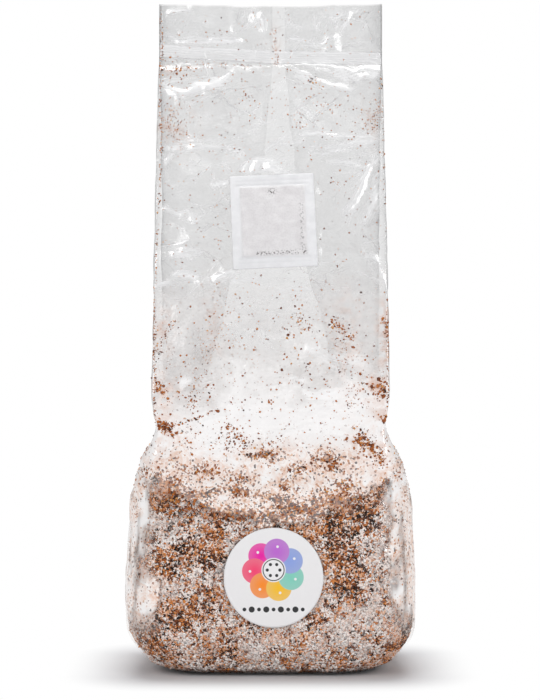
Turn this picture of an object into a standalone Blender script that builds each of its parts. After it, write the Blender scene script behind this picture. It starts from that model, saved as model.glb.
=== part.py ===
"""A filled mushroom grow bag, standing on its own base.

A gusseted tube of clear film holds a block of colonised substrate. The film is
sealed flat near its top, breathes through a filter patch on its front, and has
a round label over the block. Metres, +Z up, front towards -Y, origin on the
ground under the middle of the bag.
"""

import math

import bpy
import numpy as np
from mathutils import Matrix, Vector

# Film
FILM = 0.00035
PANEL_HALF_WIDTH = 0.0835
GUSSET_HALF_WIDTH = 0.079
BAG_HEIGHT = 0.495
LAYER_GAP = 0.0003
FOLD_WIDTH_LOW = 0.003
PANEL_BULGE = 0.0035
PANEL_SPREAD = 0.0015
MOUTH_GAP = 0.0016

# Seal band across the flattened top
SEAL_BELOW_TOP = 0.0395
SEAL_HEIGHT = 0.0086
SEAL_THICKNESS = 0.0030
SEAL_LEFT_RISE = 0.0048
SEAL_RIGHT_DROP = 0.0012
SEAL_OVERHANG = 0.0004
SEAL_RIBS = 4
SEAL_RIB_DEPTH = 0.0004

# Substrate block
BLOCK_HALF_WIDTH = 0.1028
GUSSET_SLACK = 0.0075
BLOCK_CROWN = 0.163
BLOCK_RIM = 0.150
FRONT_RIM_DIP = 0.033
BACK_RIM_DIP = 0.014
BLOCK_CORNER = 0.035
SHOULDER_CORNER = 0.008
BASE_TUCK_X = 0.026
BASE_TUCK_Y = 0.019
BASE_TUCK_HEIGHT = 0.042
BASE_ROUNDING = 2.4
SIDE_BULGE = 0.0027
SIDE_BULGE_TOP = 0.110
SHOULDER_START = 0.120
SHOULDER_NARROW = 0.178
SHOULDER_ROUNDING = 1.6
SHOULDER_SPARE = 0.001
FOLD_START = 0.160
SHOULDER_END = 0.205
GUSSET_CLOSING = 1.4
FIT_GAP = 0.0003

# Lumps that the packed substrate presses into the film, each wave as its count round the bag,
# its phase as a share of a turn, and how many radians it turns for each metre up
SIDE_LUMP = 0.0011
SIDE_LUMP_WAVES = ((5, 0.13, 41.0), (8, 0.40, -63.0))
LUMPS_FULL_FROM = 0.030
LUMPS_FULL_TO = 0.115
LUMPS_END = 0.150

# Clods on the block's heaped top
CROWN_LUMP = 0.0045
CLOD_SIZE = (0.0115, 0.0130)
CLOD_PHASE = (1.0, 0.6)
SMALL_CLOD_SIZE = (0.0062, 0.0057)
SMALL_CLOD_SLANT = (0.0081, -0.0170)
CLODS_CLEAR_OF_RIM = 0.2
HEAP_STEEPNESS = 2.4
HEAP_RINGS = (1.0, 0.94, 0.87, 0.78, 0.68, 0.58, 0.47, 0.36, 0.25, 0.14)
HEAP_MIDDLE = 0.04
HEAP_BEYOND = 1.2

# Filter patch and the window in the film behind it
PATCH_WIDTH = 0.061
PATCH_HEIGHT = 0.0685
PATCH_MARGIN_SIDE = 0.0070
PATCH_MARGIN_END = 0.0085
PATCH_THICKNESS = 0.0004
PATCH_WINDOW_RISE = 0.0006
PATCH_CENTRE_X = 0.0021
PATCH_BELOW_SEAL = 0.126
PATCH_TILT = math.radians(2.5)
WINDOW_INSET = 0.0015

# Label
LABEL_RADIUS = 0.0356
LABEL_THICKNESS = 0.0003
LABEL_CENTRE = (0.0021, 0.0735)

# Facets
PANEL_STEPS = 5
GUSSET_STEPS = 5
LABEL_STEPS = 40
BASE_ROWS = (0.0, 0.065, 0.18, 0.37, 0.63, 1.0)
SIDE_STEPS = 4
SHOULDER_STEPS = 8
UPPER_STEPS = 10
UPPER_CROWDING = 1.5
MOUTH_STEPS = 3
CAVITY_TOP_HALF_DEPTH = 0.0025

# Cutters
CUTTER_FRONT = -0.100
CUTTER_BACK = -0.020
CUTTER_BEYOND = 0.004
SLAB_REACH = 1.1

EDGE_WIDTH = 2 * FILM + LAYER_GAP
FLAT_HALF_DEPTH = EDGE_WIDTH + LAYER_GAP / 2
BLOCK_HALF_DEPTH = GUSSET_HALF_WIDTH - GUSSET_SLACK
SEAL_CENTRE_Z = BAG_HEIGHT - SEAL_BELOW_TOP
PATCH_CENTRE = (PATCH_CENTRE_X, SEAL_CENTRE_Z - PATCH_BELOW_SEAL)
SEAL_LOW = SEAL_CENTRE_Z - SEAL_HEIGHT / 2
SEAL_HIGH = SEAL_CENTRE_Z + SEAL_HEIGHT / 2
FOLD_TIP_FLAT = PANEL_HALF_WIDTH - GUSSET_HALF_WIDTH


def smooth(value):
    """0 below 0, 1 above 1, with an even start and end between."""
    value = min(1.0, max(0.0, value))
    return value * value * (3 - 2 * value)


def rounded_rectangle(half_width, half_depth, corner, share):
    """A point on the front right quarter, share of the way from front middle to side middle."""
    along_front = half_width - corner
    along_side = half_depth - corner
    arc = corner * math.pi / 2
    travel = share * (along_front + arc + along_side)
    if travel <= along_front:
        return travel, -half_depth
    if travel <= along_front + arc:
        angle = (travel - along_front) / corner
        x = along_front + corner * math.sin(angle)
        return x, -along_side - corner * math.cos(angle)
    return half_width, -along_side + (travel - along_front - arc)


def block_widths(z):
    """Half width, half depth and corner radius of the filled part of the bag."""
    tuck = max(0.0, 1 - z / BASE_TUCK_HEIGHT) ** BASE_ROUNDING
    bulge = SIDE_BULGE * math.sin(math.pi * min(1.0, z / SIDE_BULGE_TOP))
    rise = min(1.0, max(0.0, (z - SHOULDER_START) / (SHOULDER_NARROW - SHOULDER_START)))
    narrowing = (BLOCK_HALF_WIDTH - PANEL_HALF_WIDTH - SHOULDER_SPARE) * rise**SHOULDER_ROUNDING
    half_width = BLOCK_HALF_WIDTH + bulge - BASE_TUCK_X * tuck - narrowing
    half_depth = BLOCK_HALF_DEPTH + bulge / 3 - BASE_TUCK_Y * tuck
    corner = BLOCK_CORNER + (SHOULDER_CORNER - BLOCK_CORNER) * smooth(rise)
    return half_width, half_depth, corner


def folded_widths(z):
    """Half width of the flat panels, their half depth and where the gusset's inner fold lies."""
    rise = min(1.0, max(0.0, (z - SHOULDER_END) / (SEAL_LOW - SHOULDER_END)))
    fold_at_shoulder = GUSSET_HALF_WIDTH - math.sqrt(GUSSET_HALF_WIDTH**2 - BLOCK_HALF_DEPTH**2)
    opening = fold_at_shoulder * (1 - rise) ** GUSSET_CLOSING
    half_depth = math.sqrt(GUSSET_HALF_WIDTH**2 - (GUSSET_HALF_WIDTH - opening) ** 2)
    half_depth = max(FLAT_HALF_DEPTH, half_depth)
    if z > SEAL_HIGH:
        half_depth += MOUTH_GAP * (z - SEAL_HIGH) / (BAG_HEIGHT - SEAL_HIGH)
    half_width = PANEL_HALF_WIDTH + PANEL_SPREAD * (1 - rise)
    return half_width, half_depth, FOLD_TIP_FLAT + opening


def fold_width(z):
    """The gusset fold is round low down and pressed flat towards the seal."""
    rise = smooth((z - SHOULDER_END) / (SEAL_LOW - SHOULDER_END))
    return FOLD_WIDTH_LOW + (LAYER_GAP - FOLD_WIDTH_LOW) * rise


def quarter(z):
    """Front middle to gusset fold, as points of the film's outer face at height z."""
    half_width, half_depth, fold = folded_widths(z)
    tip = Vector((fold, -fold_width(z) / 2))
    bulge = PANEL_BULGE * math.sin(math.pi * smooth((z - BLOCK_CROWN) / (SEAL_LOW - BLOCK_CROWN)))
    folded = []
    for step in range(PANEL_STEPS + 1):
        across = step / PANEL_STEPS
        folded.append(Vector((half_width * across, -half_depth - bulge * (1 - across**2))))
    edge = Vector((half_width, -half_depth + EDGE_WIDTH))
    for step in range(GUSSET_STEPS + 1):
        folded.append(edge.lerp(tip, step / GUSSET_STEPS))

    length = PANEL_HALF_WIDTH + EDGE_WIDTH + GUSSET_HALF_WIDTH
    travels = [PANEL_HALF_WIDTH * step / PANEL_STEPS for step in range(PANEL_STEPS + 1)]
    start = PANEL_HALF_WIDTH + EDGE_WIDTH
    travels += [start + GUSSET_HALF_WIDTH * step / GUSSET_STEPS for step in range(GUSSET_STEPS + 1)]
    block = block_widths(z)
    last = 1 - fold_width(z) / 2 / length
    filled = [Vector(rounded_rectangle(*block, last * travel / length)) for travel in travels]

    folding = smooth((z - FOLD_START) / (SHOULDER_END - FOLD_START))
    return [a.lerp(b, folding) for a, b in zip(filled, folded)]


def lump(turn, z):
    """How far the packed substrate pushes the film out, at a turn of 0 to 1 round the bag."""
    fade = smooth(z / LUMPS_FULL_FROM) * (1 - smooth((z - LUMPS_FULL_TO) / (LUMPS_END - LUMPS_FULL_TO)))
    total = 0.0
    for count, phase, climb in SIDE_LUMP_WAVES:
        total += math.sin(2 * math.pi * (count * turn + phase) + climb * z)
    return SIDE_LUMP * fade * total / len(SIDE_LUMP_WAVES)


def outline(z):
    """The film's outer face all the way round at height z, anticlockwise from above."""
    first = quarter(z)
    loop = list(first)
    loop += [Vector((p.x, -p.y)) for p in reversed(first)]
    loop += [Vector((-p.x, -p.y)) for p in first[1:]]
    loop += [Vector((-p.x, p.y)) for p in reversed(first[1:])]
    lengths = [lump(index / len(loop), z) for index in range(len(loop))]
    return offset_loop(loop, lengths)


def offset_loop(loop, lengths):
    """Moves each edge of a closed outline outwards by lengths, keeping its corners sharp."""
    moved = []
    for index, point in enumerate(loop):
        before = (point - loop[index - 1]).normalized()
        after = (loop[(index + 1) % len(loop)] - point).normalized()
        normal_a = Vector((before.y, -before.x))
        normal_b = Vector((after.y, -after.x))
        mitre = (normal_a + normal_b) / (1 + normal_a.dot(normal_b))
        moved.append(point + mitre * lengths[index])
    return moved


def inset_rows(heights, depth):
    """Rows of points that lie depth inside the film's outer face. The base rises by depth too."""
    rows = []
    for z in heights:
        loop = outline(z)
        lift = depth * max(0.0, 1 - z / BASE_TUCK_HEIGHT)
        rows.append([(p.x, p.y, z + lift) for p in offset_loop(loop, [-depth] * len(loop))])
    return rows


def film_heights():
    """The rows of the film up to the seal, closer together where its shape changes faster."""
    low = [BASE_TUCK_HEIGHT * share for share in BASE_ROWS]
    side = list(np.linspace(BASE_TUCK_HEIGHT, SHOULDER_START, SIDE_STEPS + 1))[1:]
    shoulder = list(np.linspace(SHOULDER_START, SHOULDER_END, SHOULDER_STEPS + 1))[1:]
    climbed = [1 - (1 - step / UPPER_STEPS) ** UPPER_CROWDING for step in range(1, UPPER_STEPS + 1)]
    upper = [SHOULDER_END + (SEAL_LOW - SHOULDER_END) * share for share in climbed]
    return low + side + shoulder + upper


def mouth_heights():
    """The rows of the loose leaves of film above the seal."""
    return list(np.linspace(SEAL_HIGH, BAG_HEIGHT, MOUTH_STEPS + 1))


def cavity_heights():
    """The film rows whose two sides stand far enough apart to hold air."""
    return [z for z in film_heights() if folded_widths(z)[1] > CAVITY_TOP_HALF_DEPTH]


def new_object(name, vertices, faces, material=None):
    mesh = bpy.data.meshes.new(name)
    mesh.from_pydata([tuple(v) for v in vertices], [], faces)
    mesh.validate()
    mesh.update()
    obj = bpy.data.objects.new(name, mesh)
    bpy.context.scene.collection.objects.link(obj)
    if material:
        mesh.materials.append(material)
    return obj


def loft(name, rows, material=None):
    """A closed solid through rows of points, each row anticlockwise from above, lowest first."""
    count = len(rows[0])
    vertices = [point for row in rows for point in row]
    faces = [list(reversed(range(count)))]
    for row in range(len(rows) - 1):
        for index in range(count):
            following = (index + 1) % count
            low, high = row * count, (row + 1) * count
            faces.append([low + index, low + following, high + following])
            faces.append([low + index, high + following, high + index])
    faces.append([(len(rows) - 1) * count + index for index in range(count)])
    return new_object(name, vertices, faces, material)


def material(name, colour, roughness, alpha=1.0):
    made = bpy.data.materials.new(name)
    made.use_nodes = True
    shader = made.node_tree.nodes["Principled BSDF"]
    shader.inputs["Base Color"].default_value = (*colour, 1.0)
    shader.inputs["Roughness"].default_value = roughness
    shader.inputs["Metallic"].default_value = 0.0
    shader.inputs["Alpha"].default_value = alpha
    return made


def helper(obj):
    """A cutter or filler: it shapes another object and isn't part of the bag."""
    obj.hide_render = True
    obj.display_type = "WIRE"
    return obj


def apply_boolean(obj, other, operation):
    modifier = obj.modifiers.new(f"{operation.lower()} {other.name}", "BOOLEAN")
    modifier.operation = operation
    modifier.solver = "EXACT"
    modifier.object = other


def seal_band():
    """The weld that closes the bag: a thin bar with pressed lines along both faces, slanting on the left."""
    profile = []
    pitch = SEAL_HEIGHT / SEAL_RIBS
    for rib in range(SEAL_RIBS):
        base = -SEAL_HEIGHT / 2 + rib * pitch
        profile.append((-SEAL_THICKNESS / 2 + SEAL_RIB_DEPTH, base))
        profile.append((-SEAL_THICKNESS / 2, base + pitch / 2))
    profile.append((-SEAL_THICKNESS / 2 + SEAL_RIB_DEPTH, SEAL_HEIGHT / 2))
    section = [(y, z) for y, z in profile] + [(-y, z) for y, z in reversed(profile)]
    half_length = PANEL_HALF_WIDTH + SEAL_OVERHANG
    stations = ((-half_length, SEAL_LEFT_RISE), (0.0, 0.0), (half_length, -SEAL_RIGHT_DROP))
    vertices = [(x, y, SEAL_CENTRE_Z + rise + z) for x, rise in stations for y, z in section]
    count = len(section)
    last = 2 * count
    faces = [list(range(count)), [last + index for index in reversed(range(count))]]
    for start in (0, count):
        for index in range(count):
            following = (index + 1) % count
            faces.append([start + index, start + count + index, start + count + following, start + following])
    return helper(new_object("seal_band", vertices, faces))


def mouth_cavity():
    """The space between the loose leaves of film above the seal."""
    rows = inset_rows(mouth_heights() + [BAG_HEIGHT + CUTTER_BEYOND], FILM)
    return helper(loft("mouth_cavity", rows))


def bag_film(clear):
    rows = [[(p.x, p.y, z) for p in outline(z)] for z in film_heights() + mouth_heights()]
    film = loft("bag_film", rows, clear)
    headspace = helper(loft("headspace", inset_rows(cavity_heights(), FILM)))
    apply_boolean(film, headspace, "DIFFERENCE")
    apply_boolean(film, mouth_cavity(), "DIFFERENCE")
    apply_boolean(film, seal_band(), "UNION")
    apply_boolean(film, patch_window(), "DIFFERENCE")
    return film


def tilted_box(name, half_width, half_height, cover=None):
    """A bar that runs front to back through the middle of the filter patch, turned with it."""
    turn = Matrix.Rotation(-PATCH_TILT, 4, "Y")
    centre = Vector((PATCH_CENTRE[0], 0, PATCH_CENTRE[1]))
    corners = [(-half_width, -half_height), (half_width, -half_height)]
    corners += [(half_width, half_height), (-half_width, half_height)]
    ends = (CUTTER_FRONT, CUTTER_BACK)
    vertices = [centre + turn @ Vector((x, y, z)) for y in ends for x, z in corners]
    faces = [[0, 1, 2, 3], [7, 6, 5, 4], [0, 4, 5, 1], [1, 5, 6, 2], [2, 6, 7, 3], [3, 7, 4, 0]]
    return new_object(name, vertices, faces, cover)


def patch_window():
    """The opening in the front film that lets the bag breathe through its patch."""
    half_width = PATCH_WIDTH / 2 - PATCH_MARGIN_SIDE - WINDOW_INSET
    half_height = PATCH_HEIGHT / 2 - PATCH_MARGIN_END - WINDOW_INSET
    return helper(tilted_box("patch_window", half_width, half_height))


def front_slab(name, low, high, lift):
    """A solid whose front face lies lift outside the film's front panel, from low to high."""
    heights = film_heights()
    used = [z for z, above in zip(heights, heights[1:]) if above > low and z < high]
    used.append(heights[heights.index(used[-1]) + 1])
    rows = []
    for z in used:
        loop = outline(z)
        moved = offset_loop(loop, [lift] * len(loop))
        front = moved[-PANEL_STEPS:] + moved[: PANEL_STEPS + 1]
        back = [Vector((front[-1].x, 0)), Vector((front[0].x, 0))]
        rows.append([(p.x, p.y, z) for p in front + back])
    return helper(loft(name, rows))


def filter_patch(fabric):
    """A breathable sheet welded to the film round its edge, and a little raised inside the weld."""
    half_width, half_height = PATCH_WIDTH / 2, PATCH_HEIGHT / 2
    low = PATCH_CENTRE[1] - half_height * SLAB_REACH
    high = PATCH_CENTRE[1] + half_height * SLAB_REACH
    weld = front_slab("patch_weld", low, high, FIT_GAP + PATCH_THICKNESS)
    raised = front_slab("patch_raised", low, high, FIT_GAP + PATCH_THICKNESS + PATCH_WINDOW_RISE)
    behind = front_slab("patch_behind", low, high, FIT_GAP)
    inner_width, inner_height = half_width - PATCH_MARGIN_SIDE, half_height - PATCH_MARGIN_END
    middle = helper(tilted_box("patch_middle", inner_width, inner_height))
    apply_boolean(middle, raised, "INTERSECT")
    patch = tilted_box("filter_patch", half_width, half_height, fabric)
    apply_boolean(patch, weld, "INTERSECT")
    apply_boolean(patch, middle, "UNION")
    apply_boolean(patch, behind, "DIFFERENCE")
    return patch


def label(paper):
    """A round paper sticker that follows the film over the block."""
    rows = []
    for y in (CUTTER_FRONT, CUTTER_BACK):
        row = []
        for step in range(LABEL_STEPS):
            angle = 2 * math.pi * step / LABEL_STEPS
            x = LABEL_CENTRE[0] + LABEL_RADIUS * math.cos(angle)
            row.append((x, y, LABEL_CENTRE[1] + LABEL_RADIUS * math.sin(angle)))
        rows.append(row)
    low = LABEL_CENTRE[1] - LABEL_RADIUS * SLAB_REACH
    high = LABEL_CENTRE[1] + LABEL_RADIUS * SLAB_REACH
    sticker = loft("label", rows, paper)
    front = front_slab("label_front", low, high, FIT_GAP + LABEL_THICKNESS)
    behind = front_slab("label_behind", low, high, FIT_GAP)
    apply_boolean(sticker, front, "INTERSECT")
    apply_boolean(sticker, behind, "DIFFERENCE")
    return sticker


def rim_height(x, y):
    """Where the block's side ends: low at the front middle, high at the corners and sides."""
    inward = max(0.0, 1 - (abs(x) / PANEL_HALF_WIDTH) ** 2)
    front = max(0.0, -y / BLOCK_HALF_DEPTH) ** 2
    back = max(0.0, y / BLOCK_HALF_DEPTH) ** 2
    return BLOCK_RIM - (FRONT_RIM_DIP * front + BACK_RIM_DIP * back) * inward


def crown_lump(x, y):
    """Loose clods on top of the block."""
    coarse = math.sin(x / CLOD_SIZE[0] + CLOD_PHASE[0]) * math.cos(y / CLOD_SIZE[1] + CLOD_PHASE[1])
    across = x / SMALL_CLOD_SIZE[0] + y / SMALL_CLOD_SLANT[0]
    along = y / SMALL_CLOD_SIZE[1] + x / SMALL_CLOD_SLANT[1]
    return CROWN_LUMP * (0.7 * coarse + 0.45 * math.sin(across) * math.cos(along))


def heap():
    """Everything below the block's uneven top, wider than the bag so that the film bounds its sides."""
    ring = outline(BLOCK_RIM - FRONT_RIM_DIP)
    rows = [[(p.x * HEAP_BEYOND, p.y * HEAP_BEYOND, -CUTTER_BEYOND) for p in ring]]
    for share in (HEAP_BEYOND, *HEAP_RINGS):
        row = []
        for p in ring:
            x, y = p.x * share, p.y * share
            rim = rim_height(p.x, p.y)
            height = BLOCK_CROWN - (BLOCK_CROWN - rim) * min(1.0, share) ** HEAP_STEEPNESS
            row.append((x, y, height + crown_lump(x, y) * smooth((1 - share) / CLODS_CLEAR_OF_RIM)))
        rows.append(row)
    top = BLOCK_CROWN + crown_lump(0, 0)
    rows.append([(p.x * HEAP_MIDDLE, p.y * HEAP_MIDDLE, top) for p in ring])
    return helper(loft("heap", rows))


def substrate_block(substrate):
    """The colonised block: sides pressed flat by the film, and a heaped top."""
    heights = [z for z in film_heights() if z <= SHOULDER_END]
    block = loft("substrate_block", inset_rows(heights, FILM + FIT_GAP), substrate)
    apply_boolean(block, heap(), "INTERSECT")
    return block


def clear_scene():
    for obj in list(bpy.data.objects):
        bpy.data.objects.remove(obj)


def build():
    clear_scene()
    clear = material("clear film", (0.90, 0.90, 0.90), 0.15, 0.3)
    substrate = material("colonised substrate", (0.52, 0.40, 0.32), 0.9)
    fabric = material("filter membrane", (0.90, 0.90, 0.90), 0.6)
    paper = material("white paper", (0.93, 0.93, 0.93), 0.4)
    bag_film(clear)
    filter_patch(fabric)
    label(paper)
    substrate_block(substrate)


build()
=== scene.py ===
"""The looks of a filled mushroom grow bag: clear crinkled film, a filter patch, a label and a block of
colonised substrate. Metres, +Z up, front towards -Y."""

import math

import bpy
import numpy as np
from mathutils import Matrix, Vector


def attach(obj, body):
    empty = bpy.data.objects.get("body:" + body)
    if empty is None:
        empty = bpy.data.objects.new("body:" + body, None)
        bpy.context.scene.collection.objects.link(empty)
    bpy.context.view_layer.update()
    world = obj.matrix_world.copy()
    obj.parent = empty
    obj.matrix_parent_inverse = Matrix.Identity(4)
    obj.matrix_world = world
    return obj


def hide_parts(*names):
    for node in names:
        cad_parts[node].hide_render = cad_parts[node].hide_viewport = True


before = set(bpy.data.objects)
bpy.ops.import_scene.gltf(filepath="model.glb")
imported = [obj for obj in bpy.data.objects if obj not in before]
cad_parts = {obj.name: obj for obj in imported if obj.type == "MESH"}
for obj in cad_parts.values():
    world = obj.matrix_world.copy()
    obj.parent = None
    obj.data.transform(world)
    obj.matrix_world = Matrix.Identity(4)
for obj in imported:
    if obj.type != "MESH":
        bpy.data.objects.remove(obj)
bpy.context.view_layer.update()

# The bag, as in the solids
PANEL_HALF_WIDTH = 0.0835
PANEL_SPREAD = 0.0015
PANEL_BULGE = 0.0035
GUSSET_HALF_WIDTH = 0.079
BAG_HEIGHT = 0.495
BLOCK_HALF_WIDTH = 0.1028
BLOCK_HALF_DEPTH = 0.0715
BLOCK_CROWN = 0.163
BLOCK_RIM = 0.150
FRONT_RIM_DIP = 0.033
BACK_RIM_DIP = 0.014
HEAP_STEEPNESS = 2.4
BLOCK_CORNER = 0.035
SHOULDER_CORNER = 0.008
BASE_TUCK_X = 0.026
BASE_TUCK_Y = 0.019
BASE_TUCK_HEIGHT = 0.042
SIDE_BULGE = 0.0027
SIDE_BULGE_TOP = 0.110
SHOULDER_START = 0.120
SHOULDER_NARROW = 0.178
FOLD_START = 0.160
SHOULDER_END = 0.205
FLAT_HALF_DEPTH = 0.00115
MOUTH_GAP = 0.0016

# The weld across the top
SEAL_CENTRE_Z = 0.4555
SEAL_HEIGHT = 0.0086
SEAL_LEFT_RISE = 0.0048
SEAL_RIGHT_DROP = 0.0012
SEAL_LOW = SEAL_CENTRE_Z - SEAL_HEIGHT / 2
SEAL_HIGH = SEAL_CENTRE_Z + SEAL_HEIGHT / 2

# Patch and label, with the patch's columns and rows and the label's rings and spokes
PATCH_WIDTH = 0.061
PATCH_HEIGHT = 0.0685
PATCH_MARGIN_SIDE = 0.0070
PATCH_MARGIN_END = 0.0085
PATCH_CENTRE = (0.0021, 0.3295)
PATCH_TILT = math.radians(2.5)
LABEL_RADIUS = 0.0356
LABEL_CENTRE = (0.0021, 0.0735)
PATCH_GRID = (75, 84)
PATCH_LIFT = 0.0012
PATCH_THICKNESS = 0.00035
LABEL_GRID = (26, 120)
LABEL_LIFTS = (0.0010, 0.00075)

# Film mesh: its steps round the bag, its rows as spans of height with the step in each, and its base
FRONT_STEP = 0.00145
GUSSET_STEP = 0.0027
BACK_STEP = 0.0027
LOWEST_ROWS = (0.0, 0.0012, 0.0035)
ROW_SPANS = (
    (LOWEST_ROWS[-1], 0.120, 0.0030),
    (0.120, 0.447, 0.00155),
    (0.447, 0.466, 0.00050),
    (0.466, BAG_HEIGHT, 0.00155),
)
UNDERSIDE_RINGS = (0.93, 0.80, 0.62, 0.40, 0.18)
BASE_ROLL = 0.0060
BASE_END = 0.036
BASE_END_HEIGHT = 0.0078

# Heights from which the film is crumpled, stands over the block's rim and has its layers pressed together
FREE_FROM = 0.122
UPPER_FROM = 0.150
PRESSED_FROM = 0.395

# Row of the photograph from which the film lies on the block
TOUCH_ROW = 484

# Camera
CAMERA_DISTANCE = 1.5
CAMERA_HEIGHT = 0.236
PIXEL = 0.00075
PHOTO_CENTRE = (270.0, 350.0)
BAG_MIDDLE_PX = 270.6
PHOTO_HEIGHT_PX = 700
SENSOR = 36.0

SEED = 7

# Tenths of a millimetre in a metre
TENTHS = 10000


def smooth(value):
    value = np.clip(value, 0.0, 1.0)
    return value * value * (3 - 2 * value)


def bell(value, width):
    """1 where the value is 0, falling off to both sides."""
    return np.exp(-((value / width) ** 2))


def lattice_noise(points, size, seed):
    """Smooth noise from -1 to 1 at points, with lumps about size across."""
    cells = 32
    table = np.random.default_rng(seed).uniform(-1, 1, (cells, cells, cells))
    scaled = np.asarray(points) / size
    low = np.floor(scaled).astype(int)
    part = smooth(scaled - low)
    total = np.zeros(scaled.shape[:-1])
    for corner in np.ndindex(2, 2, 2):
        weight = np.ones(scaled.shape[:-1])
        for axis in range(3):
            weight = weight * (part[..., axis] if corner[axis] else 1 - part[..., axis])
        index = [(low[..., axis] + corner[axis]) % cells for axis in range(3)]
        total += weight * table[index[0], index[1], index[2]]
    return total


def layered_noise(points, size, seed, layers=3):
    total, strength = 0.0, 1.0
    for layer in range(layers):
        total = total + strength * lattice_noise(points, size / 2.1**layer, seed + layer)
        strength *= 0.5
    return total


# A turn that keeps lumps of noise from lining up with the axes
OFF_AXES = np.array([[0.80, 0.36, -0.48], [-0.60, 0.48, -0.64], [0.0, 0.80, 0.60]])


def photo_place(px, py, depth):
    """Where a pixel of the photograph lies at a depth, as x and z."""
    scale = PIXEL * (CAMERA_DISTANCE + depth) / CAMERA_DISTANCE
    return (px - BAG_MIDDLE_PX) * scale, CAMERA_HEIGHT + (PHOTO_CENTRE[1] - py) * scale


def photo_pixel(x, z, depth):
    """The pixel of the photograph that a place at a depth falls on."""
    scale = PIXEL * (CAMERA_DISTANCE + depth) / CAMERA_DISTANCE
    return BAG_MIDDLE_PX + x / scale, PHOTO_CENTRE[1] - (z - CAMERA_HEIGHT) / scale


# The section of the bag at each height

QUARTER = PANEL_HALF_WIDTH + GUSSET_HALF_WIDTH
AROUND = 4 * QUARTER
FOLD_TIP_FLAT = PANEL_HALF_WIDTH - GUSSET_HALF_WIDTH


def folded_widths(z):
    rise = np.clip((z - SHOULDER_END) / (SEAL_LOW - SHOULDER_END), 0, 1)
    fold_at_shoulder = GUSSET_HALF_WIDTH - math.sqrt(GUSSET_HALF_WIDTH**2 - BLOCK_HALF_DEPTH**2)
    opening = fold_at_shoulder * (1 - rise) ** 1.4
    half_depth = np.sqrt(GUSSET_HALF_WIDTH**2 - (GUSSET_HALF_WIDTH - opening) ** 2)
    half_depth = np.maximum(FLAT_HALF_DEPTH, half_depth)
    above = np.clip((z - SEAL_HIGH) / (BAG_HEIGHT - SEAL_HIGH), 0, 1)
    half_depth = half_depth + MOUTH_GAP * above
    half_width = PANEL_HALF_WIDTH + PANEL_SPREAD * (1 - rise)
    return half_width, half_depth, FOLD_TIP_FLAT + opening


def block_widths(z):
    tuck = np.maximum(0.0, 1 - z / BASE_TUCK_HEIGHT) ** 2.4
    bulge = SIDE_BULGE * np.sin(math.pi * np.minimum(1.0, z / SIDE_BULGE_TOP))
    rise = np.clip((z - SHOULDER_START) / (SHOULDER_NARROW - SHOULDER_START), 0, 1)
    narrowing = (BLOCK_HALF_WIDTH - PANEL_HALF_WIDTH - 0.001) * rise**1.6
    half_width = BLOCK_HALF_WIDTH + bulge - BASE_TUCK_X * tuck - narrowing
    half_depth = BLOCK_HALF_DEPTH + bulge / 3 - BASE_TUCK_Y * tuck
    corner = BLOCK_CORNER + (SHOULDER_CORNER - BLOCK_CORNER) * smooth(rise)
    return half_width, half_depth, corner


def quarter_point(t, z):
    """The film at travel t from front middle to gusset fold, at height z, as x, y and share inward."""
    half_width, half_depth, fold = folded_widths(z)
    share = np.clip(t / PANEL_HALF_WIDTH, 0, 1)
    bulge = PANEL_BULGE * np.sin(math.pi * smooth((z - BLOCK_CROWN) / (SEAL_LOW - BLOCK_CROWN)))
    panel_x = half_width * share
    panel_y = -half_depth - bulge * (1 - share**2)
    inward = np.clip((t - PANEL_HALF_WIDTH) / GUSSET_HALF_WIDTH, 0, 1)
    sag = 0.05 * (half_depth - FLAT_HALF_DEPTH) * np.sin(math.pi * inward)
    fold_x = half_width + (fold - half_width) * inward - sag
    fold_y = -half_depth * (1 - inward) - sag * 0.3
    folded_x = np.where(t <= PANEL_HALF_WIDTH, panel_x, fold_x)
    folded_y = np.where(t <= PANEL_HALF_WIDTH, panel_y, fold_y)

    width, depth, corner = block_widths(z)
    along_front, along_side = width - corner, depth - corner
    arc = corner * math.pi / 2
    travel = t / QUARTER * (along_front + arc + along_side)
    angle = np.clip((travel - along_front) / corner, 0, math.pi / 2)
    on_side = np.clip(travel - along_front - arc, 0, None)
    filled_x = np.minimum(travel, along_front) + corner * np.sin(angle)
    filled_y = -along_side - corner * np.cos(angle) + on_side

    folding = smooth((z - FOLD_START) / (SHOULDER_END - FOLD_START))
    x = filled_x + (folded_x - filled_x) * folding
    y = filled_y + (folded_y - filled_y) * folding
    return x, y, inward


def steps(low, high, step):
    return np.linspace(low, high, max(2, round((high - low) / step) + 1))


def film_columns(panel_step_front, gusset_step, panel_step_back):
    """Travel, side and front or back sign of each column of the film, all the way round."""
    fold = steps(PANEL_HALF_WIDTH, QUARTER, gusset_step)[1:]
    front = np.concatenate([steps(0, PANEL_HALF_WIDTH, panel_step_front), fold])
    back = np.concatenate([steps(0, PANEL_HALF_WIDTH, panel_step_back), fold])
    parts = [
        (front, 1, 1),
        (back[:-1][::-1], 1, -1),
        (back[1:], -1, -1),
        (front[1:-1][::-1], -1, 1),
    ]
    travel = np.concatenate([part[0] for part in parts])
    side = np.concatenate([np.full(len(part[0]), part[1]) for part in parts])
    face = np.concatenate([np.full(len(part[0]), part[2]) for part in parts])
    return travel, side, face


# How far both inner folds lean to the right near the top, and how much they waver
FOLD_LEAN = 0.0060
FOLD_WAVER = 0.0022


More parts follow.
